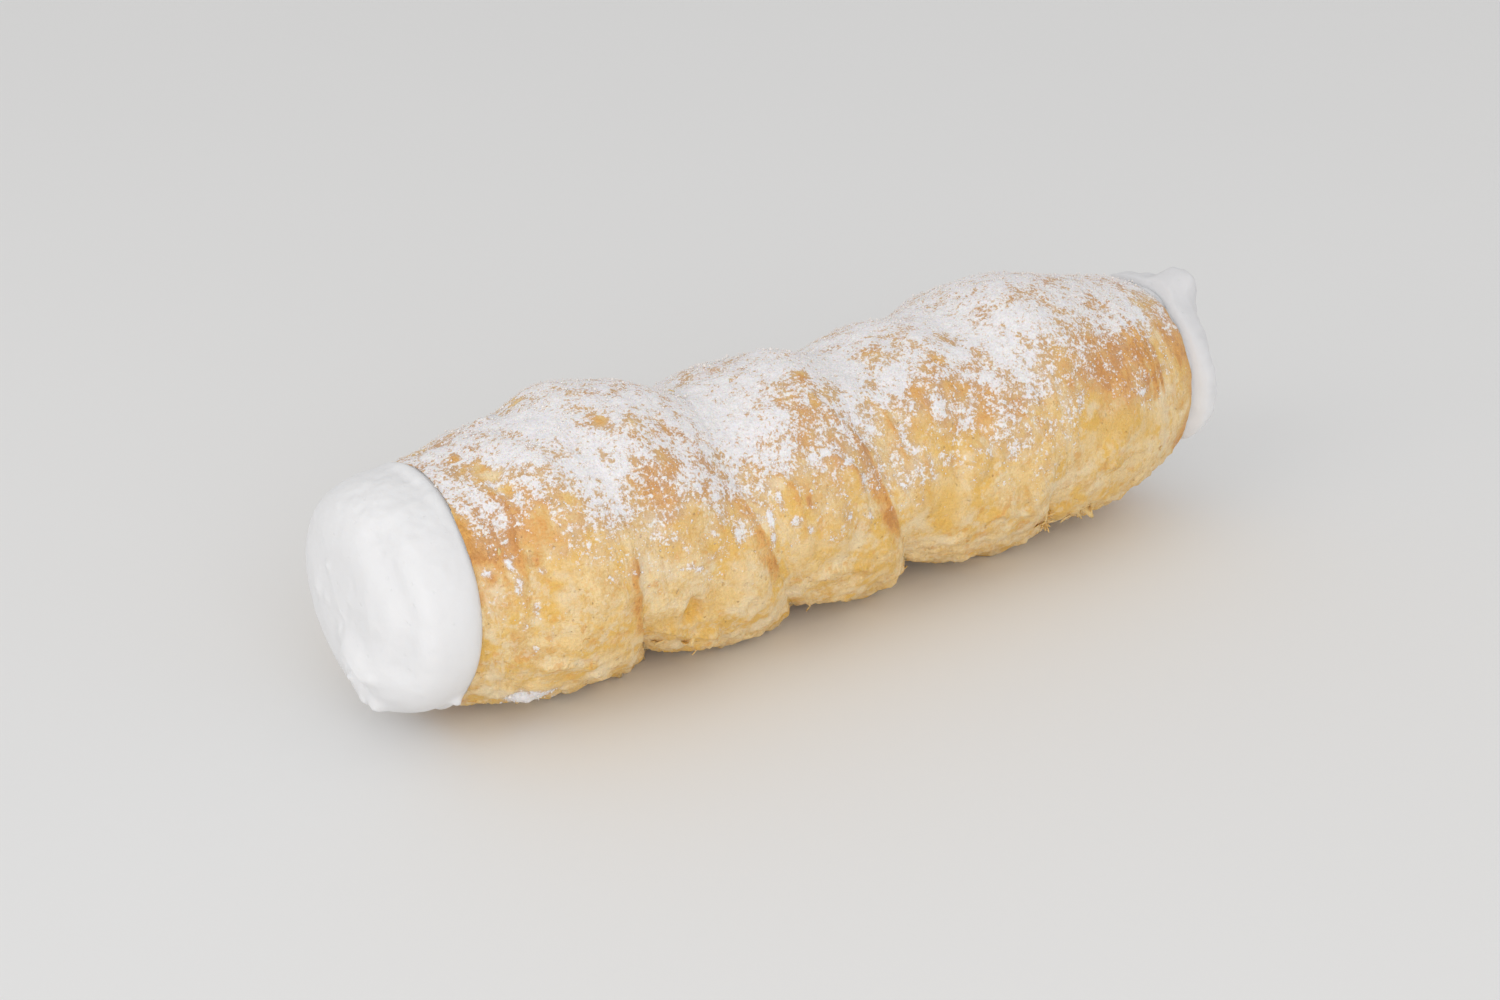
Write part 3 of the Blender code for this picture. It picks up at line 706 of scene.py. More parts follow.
def sugar_cover(x, angle, normals, base, rim, gap):
    """How much sugar lies on the crust, from 0 to 1. About half of the crust shows at 0.5."""
    crease = strip_distances(x, angle)[2]
    ends = np.radians(curve_through(x, SUGAR_PLACES, SUGAR_ENDS))
    wobble = math.radians(SUGAR_WOBBLE) * layered_noise(base, 5.0, 81)
    below = np.degrees(np.abs(angle_from(angle, 0)) - ends + wobble)
    cover = np.interp(below, SUGAR_BELOW, SUGAR_COVERS)
    valley = smoothstep(5.0, 1.0, crease) * np.minimum(crease_depth(x, angle) / 1.8, 1)
    cover += 0.14 * valley * smoothstep(0.3, 0.7, cover)
    cover += (0.1 * gap - 0.1 * rim) * smoothstep(0.1, 0.4, cover)
    cover += 0.35 * (normals[..., 2] - 0.8) * smoothstep(0.4, 0.7, cover)
    cover += (0.08 * layered_noise(base, 4.0, 82, layers=2) + 0.08 * noise(base, 1.6, 84)) * (cover > 0.1)
    cover -= in_spots(x, angle, BARE_PATCHES) * (0.38 + 0.42 * noise(base, 1.7, 86))
    spots = in_spots(x, angle, SUGAR_SPOTS) * (0.92 + 0.35 * noise(base, 1.2, 85))
    return np.clip(np.maximum(cover, spots) * smoothstep(*BARE_LIP, x + HALF_LENGTH), 0, 1)


def crust_grid():
    """Places along X and angles of the outer surface's rings, pulled onto the creases close by."""
    angle = ring_angles(CRUST_ROUND)
    start = front_mouth(angle)[0]
    step = (HALF_LENGTH - start) / (CRUST_RINGS - 1)
    x = start + np.arange(CRUST_RINGS)[:, None] * step
    for turn in range(len(CREASE_TURNS)):
        place = crease_line(angle, turn)[0]
        near = np.abs(x[1:-1] - place) < step / 2
        x[1:-1] = np.where(near, place, x[1:-1])
    return x, np.broadcast_to(angle, x.shape)


def crust_points():
    """The outer surface's points, and the values that its finish and its shreds go by."""
    x, angle = crust_grid()
    base = round_axis(x, crust_radius(x, angle), angle)
    height, rim, gap = crust_relief(x, angle, base)
    _, ahead, crease = strip_distances(x, angle)
    normals = grid_normals(base)
    # This keeps the relief's sides from meeting inside a crease.
    normals[..., 0] *= smoothstep(0, CREASE_CLEARANCE, crease)
    rough = base + normals * height[..., None]
    cover = sugar_cover(x, angle, grid_normals(rough), base, rim, gap)
    lean = EDGE_LEAN * hill(ahead - EDGE_LIP_PLACE, 0.8) * calm_mouths(x, *CALM_LEAN)
    lean *= np.clip(0.6 + 0.7 * noise(base, 8.0, 34), 0, 1) * edge_side(angle)
    clumps = in_spots(x, angle, SUGAR_SPOTS) ** 3 * np.clip(0.7 + 0.6 * noise(base, 1.0, 87), 0, 2)
    powder = SUGAR_HEIGHT * smoothstep(0.35, 0.75, cover) + CLUMP_HEIGHT * clumps
    powder += SUGAR_GRAIN * smoothstep(0.4, 0.8, cover) * noise(base, 1.3, 88)
    points = rough + normals * powder[..., None]
    points[..., 0] += lean
    points[..., 2] = np.maximum(points[..., 2], 0)
    values = {
        "baked": baking(x, angle, base, rim, gap),
        "sugar": cover,
        "crease": crease,
        "ahead": np.minimum(ahead, OPEN_CRUST),
        "across": strip_place(x, angle) * MM,
        "yellow": np.clip(in_spots(x, angle, YELLOW_SPOTS) + 0.2 * noise(base, 5.0, 77), 0, 1),
    }
    return points, values


def lip(place, radius, dip, side):
    """Rings round a mouth's lip, from its outer edge to its inner one."""
    angle = ring_angles(CRUST_ROUND)
    uneven = noise(round_axis(0.0, MEAN_RADIUS, angle), 6.0, 91) * LIP_UNEVENNESS
    rings = []
    for number in range(1, LIP_RINGS + 1):
        turned = math.pi * number / (LIP_RINGS + 1)
        inset = (LIP_THICKNESS - dip) * (1 - math.cos(turned)) / 2
        out = (LIP_DEPTH - LIP_MARGIN + uneven) * math.sin(turned)
        rings.append(round_axis(place + side * out, radius - inset, angle))
    return rings


def bore(round_count, ring_count, gap):
    """Rings along the bore, or a gap inside it, from front to back."""
    angle = ring_angles(round_count)
    rings = []
    for x in np.linspace(-HALF_LENGTH, HALF_LENGTH, ring_count):
        along = np.where(x <= -HALF_LENGTH, front_mouth(angle)[0], x)
        rings.append(round_axis(along, bore_radius(x) - gap, angle))
    return rings


def lip_and_bore():
    """Rings from the back mouth's lip through the bore to the front mouth's lip."""
    angle = ring_angles(CRUST_ROUND)
    back = lip(HALF_LENGTH, back_mouth(angle), swelling(angle, BACK_DIP), 1)
    front = lip(*front_mouth(angle), swelling(angle, FRONT_DIP), -1)
    rings = np.array(back + bore(CRUST_ROUND, BORE_RINGS, 0)[::-1] + front[::-1])
    rings[..., 2] = np.maximum(rings[..., 2], 0)
    return rings


# ---- The cream's form ----

CREAM_ROUND = 240
FRONT_CREAM_RINGS = 96
BACK_CREAM_RINGS = 64
CREAM_CORE_RINGS = 6

# Outline of each mound: distance out past the mouth, and radius.
FRONT_CREAM = (
    (0.74, 16.1), (0.62, 16.9), (0.3, 17.5), (-0.1, 17.8), (0.4, 18.4), (1.6, 18.85), (3.4, 19.0),
    (5.4, 18.8), (7.7, 18.0), (9.6, 16.4), (11.0, 13.6), (11.9, 9.9), (12.3, 5.4), (12.5, 0.0),
)
FRONT_CREAM_TIP = 12.5
FRONT_CREAM_DROP = 0.5
FRONT_CREAM_HEIGHT = 0.92
BACK_CREAM = (
    (0.72, 14.3), (0.62, 15.1), (0.3, 15.75), (-0.1, 16.05), (0.5, 16.6), (1.6, 16.8), (3.2, 16.5),
    (4.4, 15.0), (5.1, 11.5), (5.4, 6.5), (5.5, 0.0),
)
BACK_CREAM_TIP = 5.5

# Swellings of the front mound: the ridge that the piping left, and the part that sags over the lip.
SWIRL = (2.0, 146, 24)
SWIRL_PLACE = (11.0, 6.0)  # radius, and width across it
DRIP = (1.2, 176, 15)
# And of the back mound: its pulled-out peak, how far that and the near side lean out, and the missing foot.
PEAK_REACH = 3.9
PEAK = (15, 10.5)
PEAK_LEAN = (3.1, 15, 20)
LEAN = 1.7
BELLY_LEAN = (1.5, 104, 20)
MISSING_FOOT = (0.5, 176, 42)

# Folds on the front face: points sideways and up from its middle, width, and height or depth.
FRONT_FOLDS = (
    (((7, 12.4), (10, 10), (12.5, 7.9), (15, 4.6), (16, 1.6), (15.4, -1.8), (13.8, -5.4)), 2.3, -1.15),
    (((14.6, 9.4), (17.2, 6), (18.4, 2.4), (18, -2.4)), 2, 0.4),
    (((0, 0.2), (2.3, 1.4), (5.4, 1.9), (8.2, 1.4), (9, -0.2)), 1.8, 0.24),
    (((1, -2.8), (2, -1.4), (2.8, 0.2)), 0.9, -0.14),
    (((4.4, -1.6), (5.6, 0)), 0.7, -0.06),
    (((1.4, -3.3), (3.6, -3.2), (6.6, -3), (9.4, -2)), 1.1, -0.14),
    (((0.4, -5), (3.4, -5.2), (5.9, -6.2), (7.6, -8)), 1.6, 0.6),
    (((2.6, -5.8), (5, -7), (7.2, -8.8)), 0.5, 0.3),
    (((0, -9.4), (3, -9.6), (5.4, -10.4)), 1.2, -1.3),
)
# Small blobs and pits on the front face: sideways, up, radius and height.
FRONT_BLOBS = (
    (-3.6, 4.4, 0.7, 0.35), (-7.3, -0.6, 1.5, 0.35), (-4.4, -0.9, 1, 0.25), (1.2, -11, 0.7, 0.6),
    (3.6, -13.8, 1, 0.7), (5.9, -14.2, 1.2, 1.1), (8.8, -8.4, 0.8, 0.35), (18.2, -2, 0.5, -0.3),
    (17.2, -5.6, 0.6, -0.3), (14.8, -8.4, 0.5, -0.2),
)
TOP_FUZZ = (0.13, 14, 46)  # fine lumps along the front mound's top
RIM_COVER = (0.12, 0.3)  # how far the cream stands over the crust's rim, and how much more further out
CALM_RIM = (0.1, 1.4)  # how far out of the mouth the relief starts and is in full
FACE_SIDES = (0.2, 0.8)  # how squarely the surface has to face the front to have the face's folds
# A crumb of cream on the crust's rim: place, angle in degrees, size and height.
CREAM_CRUMB = (-70.3, 134, 0.85, 1.2)


def spread_evenly(outline, count):
    """Points evenly spaced along a smooth curve through the outline's points."""
    outline = np.array(outline, float)
    along = np.concatenate([[0], np.cumsum(np.linalg.norm(np.diff(outline, axis=0), axis=1))])
    fine = np.linspace(0, along[-1], count)
    return curve_through(fine, along, outline[:, 0]), curve_through(fine, along, outline[:, 1])


def front_face_relief(points):
    """Height of the folds and blobs on the front mound's face."""
    face = np.stack([-points[..., 1], points[..., 2] - AXIS_HEIGHT], axis=-1)
    height = np.zeros(points.shape[:-1])
    for path, width, rise in FRONT_FOLDS:
        height += rise * hill(along_path(face, path)[0], width)
    for side, up, radius, rise in FRONT_BLOBS:
        height += rise * hill(np.linalg.norm(face - np.array((side, up)), axis=-1), radius)
    return height


def mound(outline, count):
    """Columns of distances out and radii from a mound's mouth to just short of its tip."""
    out, radius = spread_evenly(outline, count + 1)
    return out[:-1, None], radius[:-1, None]


def front_cream():
    """Rings of the front mound, from its tip back to the mouth."""
    out, radius = mound(FRONT_CREAM, FRONT_CREAM_RINGS)
    angle = ring_angles(CREAM_ROUND)
    mouth_place, mouth_radius = front_mouth(angle)
    share = np.minimum(out / FRONT_CREAM_TIP, 1)
    size = radius * np.sqrt(np.sin(angle) ** 2 + (FRONT_CREAM_HEIGHT * np.cos(angle)) ** 2)
    size = size + share * swelling(angle, DRIP)
    size = size - swelling(angle, FRONT_DIP) * (radius / FRONT_MOUTH_RADIUS) ** 2
    near_rim = smoothstep(2.6, 1.2, out) * smoothstep(16.9, 17.6, radius)
    over_rim = mouth_radius + RIM_COVER[0] + RIM_COVER[1] * smoothstep(0.0, 0.8, out)
    size = size + np.maximum(over_rim - size, 0) * near_rim
    ridge = swelling(angle, SWIRL) * share ** 2 * hill(radius - SWIRL_PLACE[0], SWIRL_PLACE[1])
    rings = round_axis(mouth_place * (1 - share) - HALF_LENGTH * share - out - ridge, size, angle)
    rings[..., 2] -= FRONT_CREAM_DROP * share
    rings, out, radius = rings[::-1], out[::-1], radius[::-1]

    normals = grid_normals(rings)
    facing = smoothstep(*FACE_SIDES, -normals[..., 0])
    height = front_face_relief(rings) * facing
    height += 0.16 * noise(rings, 7.0, 101) + 0.07 * noise(rings, 3.0, 102) + 0.025 * noise(rings, 1.2, 103)
    fuzz = swelling(angle, TOP_FUZZ) * smoothstep(13.0, 17.0, radius)
    height += fuzz * (noise(rings, 1.5, 104) + 0.6 * noise(rings, 0.8, 105))
    height *= smoothstep(*CALM_RIM, out)
    place, degrees, crumb_size, crumb_height = CREAM_CRUMB
    aside = angle_from(angle, math.radians(degrees)) * radius
    height += crumb_height * hill(np.hypot(rings[..., 0] - place, aside), crumb_size) * (1 - facing)
    return rings + normals * height[..., None]


def back_cream():
    """Rings of the back mound, from the mouth out to its tip."""
    out, radius = mound(BACK_CREAM, BACK_CREAM_RINGS)
    angle = ring_angles(CREAM_ROUND)
    mouth_radius = back_mouth(angle)
    rim = np.minimum(radius / BACK_MOUTH_RADIUS, 1) ** 2
    share = np.minimum(out / BACK_CREAM_TIP, 1)
    peak = bump(angle, *PEAK, power=4) * rim * share
    size = radius * (1 - swelling(angle, MISSING_FOOT)) + PEAK_REACH * peak
    size = size - (BACK_MOUTH_RADIUS - mouth_radius) * smoothstep(2.0, 0.6, out)
    # It fits in the mouth, and is free to spread further out.
    size = np.minimum(size, mouth_radius - 0.1 + 9 * smoothstep(0.5, 2.0, out))
    lean = between_sides(angle, LEAN, 0) + swelling(angle, BELLY_LEAN) + swelling(angle, PEAK_LEAN)
    rings = round_axis(HALF_LENGTH + out + lean * rim * share, size, angle)
    normals = grid_normals(rings)
    ragged = smoothstep(0.2, 0.9, rim) * share
    height = ragged * (0.35 * noise(rings, 3.0, 111) + 0.25 * noise(rings, 1.4, 112))
    height += 0.18 * noise(rings, 6.0, 113) + 0.07 * noise(rings, 2.2, 114) + 0.04 * noise(rings, 0.9, 115)
    return rings + normals * height[..., None]


# ---- Meshes ----


def to_frame(points):
    """From the roll's own millimetres to the frame's metres."""
    return (np.asarray(points) + np.array((MIDDLE_X, AXIS_Y, 0))) * MM


def grid_faces(rings, count, closed):
    """Quads between each ring and the next, and from the last back to the first where it is closed."""
    here = np.arange(count)
    after = (here + 1) % count
    last = rings if closed else rings - 1
    faces = []
    for ring in range(last):
        low = ring * count
        high = (ring + 1) % rings * count
        faces.append(np.stack([low + here, low + after, high + after, high + here], axis=1))
    return np.concatenate(faces)


def add_object(name, data):
    """An object of the given data, in the scene."""
    item = bpy.data.objects.new(name, data)
    bpy.context.scene.collection.objects.link(item)
    return item


def add_piece(name, points, faces, material, values=None):
    """A smooth mesh object that rides on the roll. Values are numbers kept for each point, by name."""
    data = bpy.data.meshes.new(name)
    data.from_pydata(to_frame(points).tolist(), [], faces)
    for label, numbers in (values or {}).items():
        attribute = data.attributes.new(label, "FLOAT", "POINT")
        attribute.data.foreach_set("value", np.asarray(numbers, np.float32).ravel())
    data.materials.append(material)
    data.shade_smooth()
    piece = add_object(name, data)
    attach(piece, BODY)
    return piece


# ---- Shaders ----


class Wire:
    """One value in a shader. Arithmetic on it adds Math nodes, and node() adds any other node."""

    def __init__(self, tree, socket=None):
        self.tree = tree
        self.socket = socket

    def node(self, kind, settings=None, inputs=None, output=0):
        """Adds a node: its settings come first, then the values or links of its sockets."""
        made = self.tree.nodes.new(kind)
        for name, value in (settings or {}).items():
            if name == "stops":
                set_stops(made.color_ramp, value)
            else:
                setattr(made, name, value)
        for name, value in (inputs or {}).items():
            if isinstance(value, Wire):
                self.tree.links.new(value.socket, made.inputs[name])
            else:
                made.inputs[name].default_value = value
        return Wire(self.tree, made.outputs[output] if made.outputs else None)

    def math(self, operation, first, second):
        return self.node("ShaderNodeMath", {"operation": operation}, {0: first, 1: second})

    def __add__(self, other):
        return self.math("ADD", self, other)

    def __radd__(self, other):
        return self.math("ADD", other, self)

    def __sub__(self, other):
        return self.math("SUBTRACT", self, other)

    def __rsub__(self, other):
        return self.math("SUBTRACT", other, self)

    def __mul__(self, other):
        return self.math("MULTIPLY", self, other)

    def larger(self, other):
        return self.math("MAXIMUM", self, other)

    def smooth(self, low, high):
        """0 below low, 1 above high, and a smooth step between them."""
        inputs = {"Value": self, "From Min": low, "From Max": high}
        return self.node("ShaderNodeMapRange", {"interpolation_type": "SMOOTHSTEP"}, inputs)


def set_stops(ramp, stops):
    """Gives a colour ramp its stops: a position and a colour each."""
    while len(ramp.elements) < len(stops):
        ramp.elements.new(1.0)
    for element, (position, colour) in zip(ramp.elements, stops):
        element.position = position
        element.color = (*colour, 1)


def new_material(name):
    material = bpy.data.materials.new(name)
    material.use_nodes = True
    material.node_tree.nodes.clear()
    return material, Wire(material.node_tree)


def finish_material(shader, inputs):
    surface = shader.node("ShaderNodeBsdfPrincipled", {}, inputs)
    shader.node("ShaderNodeOutputMaterial", {}, {"Surface": surface})


FLOOR_MOTTLE = 1000 / 9  # size of the lumps in its faint mottling, in millimetres
FLOOR_SHADE = 0.985  # and how bright they are beside the floor's own colour


def attribute(shader, name):
    return shader.node("ShaderNodeAttribute", {"attribute_name": name}, output="Fac")


def grain(shader, size, detail=2.0, roughness=0.6, vector=None):
    """Noise from 0 to 1 with lumps of the given size in millimetres."""
    place = vector or shader.node("ShaderNodeTexCoord", output="Object")
    inputs = {"Vector": place, "Scale": 1 / (size * MM), "Detail": detail, "Roughness": roughness}
    return shader.node("ShaderNodeTexNoise", {}, inputs)


def mix_colours(shader, amount, under, over):
    """Lays a colour over another. The colours are settings or wires."""
    under, over = [colour if isinstance(colour, Wire) else (*colour, 1) for colour in (under, over)]
    inputs = {0: amount, 6: under, 7: over}
    return shader.node("ShaderNodeMix", {"data_type": "RGBA"}, inputs, output=2)


def bumped(shader, height, distance=1.0):
    """Normal of a relief whose height of 1 stands for the given distance in millimetres."""
    return shader.node("ShaderNodeBump", {}, {"Height": height, "Distance": distance * MM})


def crust_material(crust, sugar):
    """Baked puff pastry, from pale dough to brown, under speckled sugar."""
    material, shader = new_material("baked_crust")
    baked = attribute(shader, "baked")
    cover = attribute(shader, "sugar")
    crease = attribute(shader, "crease")
    yellow = attribute(shader, "yellow")
    near_crease = 1 - crease.smooth(2.5, 7.0)
    beside = crease.smooth(0.7, 1.4)

    # Layer lines run along the strip, so they hardly change round the roll and quickly across the strip.
    place = shader.node("ShaderNodeTexCoord", output="Object")
    axes = shader.node("ShaderNodeVectorMath", {"operation": "MULTIPLY"}, {0: place, 1: (0.0, 0.16, 0.16)})
    across = shader.node("ShaderNodeCombineXYZ", {}, {"X": attribute(shader, "across")})
    winding = shader.node("ShaderNodeVectorMath", {"operation": "ADD"}, {0: axes, 1: across})
    lines = grain(shader, 0.9, detail=3.0, vector=winding)
    patches = grain(shader, 3.4, detail=3.0)
    mottle = grain(shader, 1.2, detail=3.0, roughness=0.65)
    pores = grain(shader, 0.45)

    # The baked colour, and the spots and streaks of other colours on it.
    tone = baked * 0.8 + 0.1 + (patches - 0.5) * 1.25 + (mottle - 0.5) * 0.7 + (pores - 0.5) * 0.7
    lining = (near_crease * 0.6 + 0.6) * (1 - baked.smooth(0.5, 0.9) * 0.6) * beside
    tone = tone + (lines - 0.5) * lining
    stops = (
        (0.0, crust.pale), (0.25, crust.light), (0.5, crust.golden), (0.75, crust.brown), (1.0, crust.dark),
    )
    colour = shader.node("ShaderNodeValToRGB", {"stops": stops}, {0: tone})
    lightly_baked = 1 - baked.smooth(0.3, 0.8)
    buttery = grain(shader, 6.5, detail=3.0).smooth(0.46, 0.6) * lightly_baked * 0.85
    freckles = grain(shader, 2.3).smooth(0.59, 0.68) * 0.6
    specks = grain(shader, 0.8, detail=1.0, roughness=0.5).smooth(0.72, 0.77) * 0.6
    floury = grain(shader, 1.7, detail=3.0, roughness=0.65).smooth(0.52, 0.66)
    floury = floury * (1 - baked.smooth(0.25, 0.7)) * 0.6
    milky = grain(shader, 5.0, detail=3.0).smooth(0.48, 0.64) * lightly_baked * 0.7
    streaks = lines.smooth(0.5, 0.64) * near_crease * beside * (1 - baked.smooth(0.3, 0.7)) * 0.6
    layers = (
        (buttery, crust.yellow),
        (freckles, crust.brown),
        (specks, crust.toasted),
        (streaks.larger(floury.larger(milky)), crust.flour),
        (yellow * 0.8, crust.yellow),
        (cover.smooth(0.25, 0.55) * 0.62, crust.toasted),
    )
    for amount, tint in layers:
        colour = mix_colours(shader, amount, colour, tint)

    # The sugar: speckles where there is enough of it, over a thin haze.
    fine = grain(shader, 0.85, roughness=0.65)
    finest = grain(shader, 0.4, detail=1.5)
    clumps = grain(shader, 2.4)
    mask = (cover + (clumps - 0.5) * 0.55 + (fine - 0.5) * 0.95 + (finest - 0.5) * 0.75).smooth(0.34, 0.66)
    shown = mask.larger(cover.smooth(0.05, 0.7) * 0.16)
    # Where the sugar lies thinly it turns warmer and brighter: painted warm light bounced up from the
    # floor.
    powder = mix_colours(shader, cover.smooth(0.35, 0.6), sugar.thin, sugar.colour)
    colour = mix_colours(shader, shown, colour, powder)
    # Fine brightness speckle over the crust, stronger on the sugar: painted shade and glints of the tiny
    # grains. The same noise also feeds the bump.
    grain_shade_and_relief = grain(shader, 0.42, detail=3.0, roughness=0.7)
    light = 1 + (grain_shade_and_relief - 0.5) * (0.34 + shown * 0.26)
    colour = shader.node("ShaderNodeVectorMath", {"operation": "SCALE"}, {0: colour, "Scale": light})

    skin = mottle * 0.2 + pores * 0.25 - specks * 0.2 + lines * (near_crease * 0.16 + 0.05) * beside
    relief = skin * (1 - mask * 0.7) + mask * 0.1 + (finest + grain_shade_and_relief) * mask * 0.08
    gloss = (1 - mask) * baked.smooth(0.2, 0.8)
    inputs = {
        "Base Color": colour,
        "Roughness": 0.62 - gloss * 0.18 + mask * 0.3,
        "Coat Weight": gloss * 0.12,
        "Coat Roughness": 0.3,
        "Subsurface Weight": 0.12,
        "Subsurface Radius": (1.0, 0.55, 0.25),
        "Subsurface Scale": 0.0012,
        "Normal": bumped(shader, relief),
    }
    finish_material(shader, inputs)
    return material


def flake_material(crust):
    """Thin loose layers of the pastry, paler than the crust."""
    material, shader = new_material("pastry_flake")
    mottle = grain(shader, 1.0, detail=3.0)
    stops = ((0.25, crust.pale), (0.5, crust.light), (0.8, crust.golden))
    colour = shader.node("ShaderNodeValToRGB", {"stops": stops}, {0: mottle})
    inputs = {
        "Base Color": colour,
        "Roughness": 0.6 + mottle * 0.15,
        "Subsurface Weight": 0.2,
        "Subsurface Radius": (1.0, 0.6, 0.3),
        "Subsurface Scale": 0.001,
        "Normal": bumped(shader, mottle, 0.06),
    }
    finish_material(shader, inputs)
    return material


def cream_material(cream):
    """Whipped cream: soft, matte and slightly see-through, with fine air bubbles."""
    material, shader = new_material("whipped_cream")
    soft = grain(shader, 2.6, detail=3.0, roughness=0.5)
    fine = grain(shader, 0.5, roughness=0.5)
    bubbles = grain(shader, 0.8, detail=1.0, roughness=0.5).smooth(0.72, 0.78)
    colour = mix_colours(shader, (soft - 0.35) * 0.5, cream.colour, cream.shade)
    # Darker towards the back mound's top: painted shade for the light falling off there, partly the cream's
    # greyer see-through look.
    colour = mix_colours(shader, attribute(shader, "thin"), colour, cream.thin)
    relief = soft * 0.12 + fine * 0.02 - bubbles * 0.05
    inputs = {
        "Base Color": colour,
        "Roughness": 0.52 + fine * 0.12,
        "Specular IOR Level": 0.35,
        "Subsurface Weight": 0.45,
        "Subsurface Radius": (1.0, 0.95, 0.9),
        "Subsurface Scale": 0.0022,
        "Normal": bumped(shader, relief),
    }
    finish_material(shader, inputs)
    return material


def sugar_material(sugar):
    """Powdered sugar: white and quite dull."""
    material, shader = new_material("powdered_sugar")
    fine = grain(shader, 0.2, detail=1.0, roughness=0.5)
    inputs = {
        # The loose grains take the warmer, brighter colour of thin sugar: painted warm bounce light.
        "Base Color": (*sugar.thin, 1),
        "Roughness": 0.85 + fine * 0.1,
        "Specular IOR Level": 0.3,
        "Normal": bumped(shader, fine, 0.05),
    }
    finish_material(shader, inputs)
    return material


def floor_material(stage):
    """Plain pale studio floor with a faint mottling."""
    material, shader = new_material("studio_floor")
    faint = grain(shader, FLOOR_MOTTLE, roughness=0.5)
    darker = [part * FLOOR_SHADE for part in stage.floor_colour]
    colour = mix_colours(shader, faint, stage.floor_colour, darker)
    finish_material(shader, {"Base Color": colour, "Roughness": 0.7, "Specular IOR Level": 0.2})
    return material


# ---- Settings ----


def colour_property(name, description, default):
    choices = {"subtype": "COLOR", "size": 3, "min": 0, "max": 1}
    return bpy.props.FloatVectorProperty(name=name, description=description, default=default, **choices)


def number_property(name, description, default, **choices):
    kind = bpy.props.IntProperty if isinstance(default, int) else bpy.props.FloatProperty
    return kind(name=name, description=description, default=default, min=0, **choices)


class CrustSettings(bpy.types.PropertyGroup):
    pale: colour_property("Pale dough", "Colour of the least baked crust", (0.9, 0.67, 0.345))
    light: colour_property("Light crust", "Colour of the lower sides", (0.79, 0.54, 0.232))
    golden: colour_property("Golden crust", "Colour of the upper sides", (0.745, 0.45, 0.148))
    brown: colour_property("Brown crust", "Colour of crests and strip edges", (0.74, 0.37, 0.09))
    dark: colour_property("Dark crust", "Colour of the most baked spots", (0.6, 0.26, 0.055))
    yellow: colour_property("Yellow crust", "Colour of the buttery spots", (0.81, 0.485, 0.1))
    toasted: colour_property("Toasted crust", "Colour of the crust between the sugar", (0.5, 0.26, 0.095))
    flour: colour_property("Flour", "Colour of floury spots on the pale crust", (0.88, 0.725, 0.48))


class SugarSettings(bpy.types.PropertyGroup):
    colour: colour_property("Sugar", "Colour of the powdered sugar", (0.85, 0.825, 0.83))
    # Warmer and brighter than the sugar: painted warm bounce light, used where the sugar lies thinly and on
    # the loose grains.
    thin: colour_property("Thin sugar", "Colour of the sugar where it lies thinly", (0.92, 0.87, 0.83))
    grains: number_property("Grains", "Number of loose clumps of sugar", 16000, max=24900)
    size: number_property("Grain size", "Usual radius of a clump", 0.00011, unit="LENGTH", precision=5)


class CreamSettings(bpy.types.PropertyGroup):
    colour: colour_property("Cream", "Colour of the whipped cream", (0.81, 0.805, 0.81))
    shade: colour_property("Cream shade", "Colour of its slightly denser streaks", (0.775, 0.765, 0.77))
    # Painted shade: darker than the cream, for the light falling off towards the back mound's top, partly
    # its greyer see-through look.
    thin: colour_property("Thin cream", "Colour where the cream is thin", (0.7, 0.695, 0.705))


class FlakeSettings(bpy.types.PropertyGroup):
    count: number_property("Flakes", "Number of thin shreds that stand off the crust", 170, max=400)
    thickness: number_property(
        "Flake thickness", "Thickness of one shred", 0.00014, unit="LENGTH", precision=5
    )


class StageSettings(bpy.types.PropertyGroup):
    floor_colour: colour_property("Floor", "Colour of the plain floor", (0.83, 0.826, 0.82))
    ambient: number_property("Room light", "Strength of the even light", 0.7)
    key: number_property("Key light", "Power of the large soft light", 2.68, unit="POWER")


class RollSettings(bpy.types.PropertyGroup):
    crust: bpy.props.PointerProperty(type=CrustSettings)
    sugar: bpy.props.PointerProperty(type=SugarSettings)
    cream: bpy.props.PointerProperty(type=CreamSettings)
    flakes: bpy.props.PointerProperty(type=FlakeSettings)
    stage: bpy.props.PointerProperty(type=StageSettings)


# ---- Stage ----

CAMERA_PLACE = Vector((-227.34, -313.81, 191.73))
CAMERA_PAN = math.radians(-34.68)
CAMERA_TILT = math.radians(90 - 24.34)
CAMERA_ROLL = math.radians(-0.59)
CAMERA_LENS = 64.8
FLOOR_HALF = 2.0
KEY_PLACE = Vector((-420, -820, 390))
FILL_PLACE = Vector((-900, -160, 560))
FILL_SHARE = 0.6  # of the key light's power
LIGHT_SIZE = 0.8


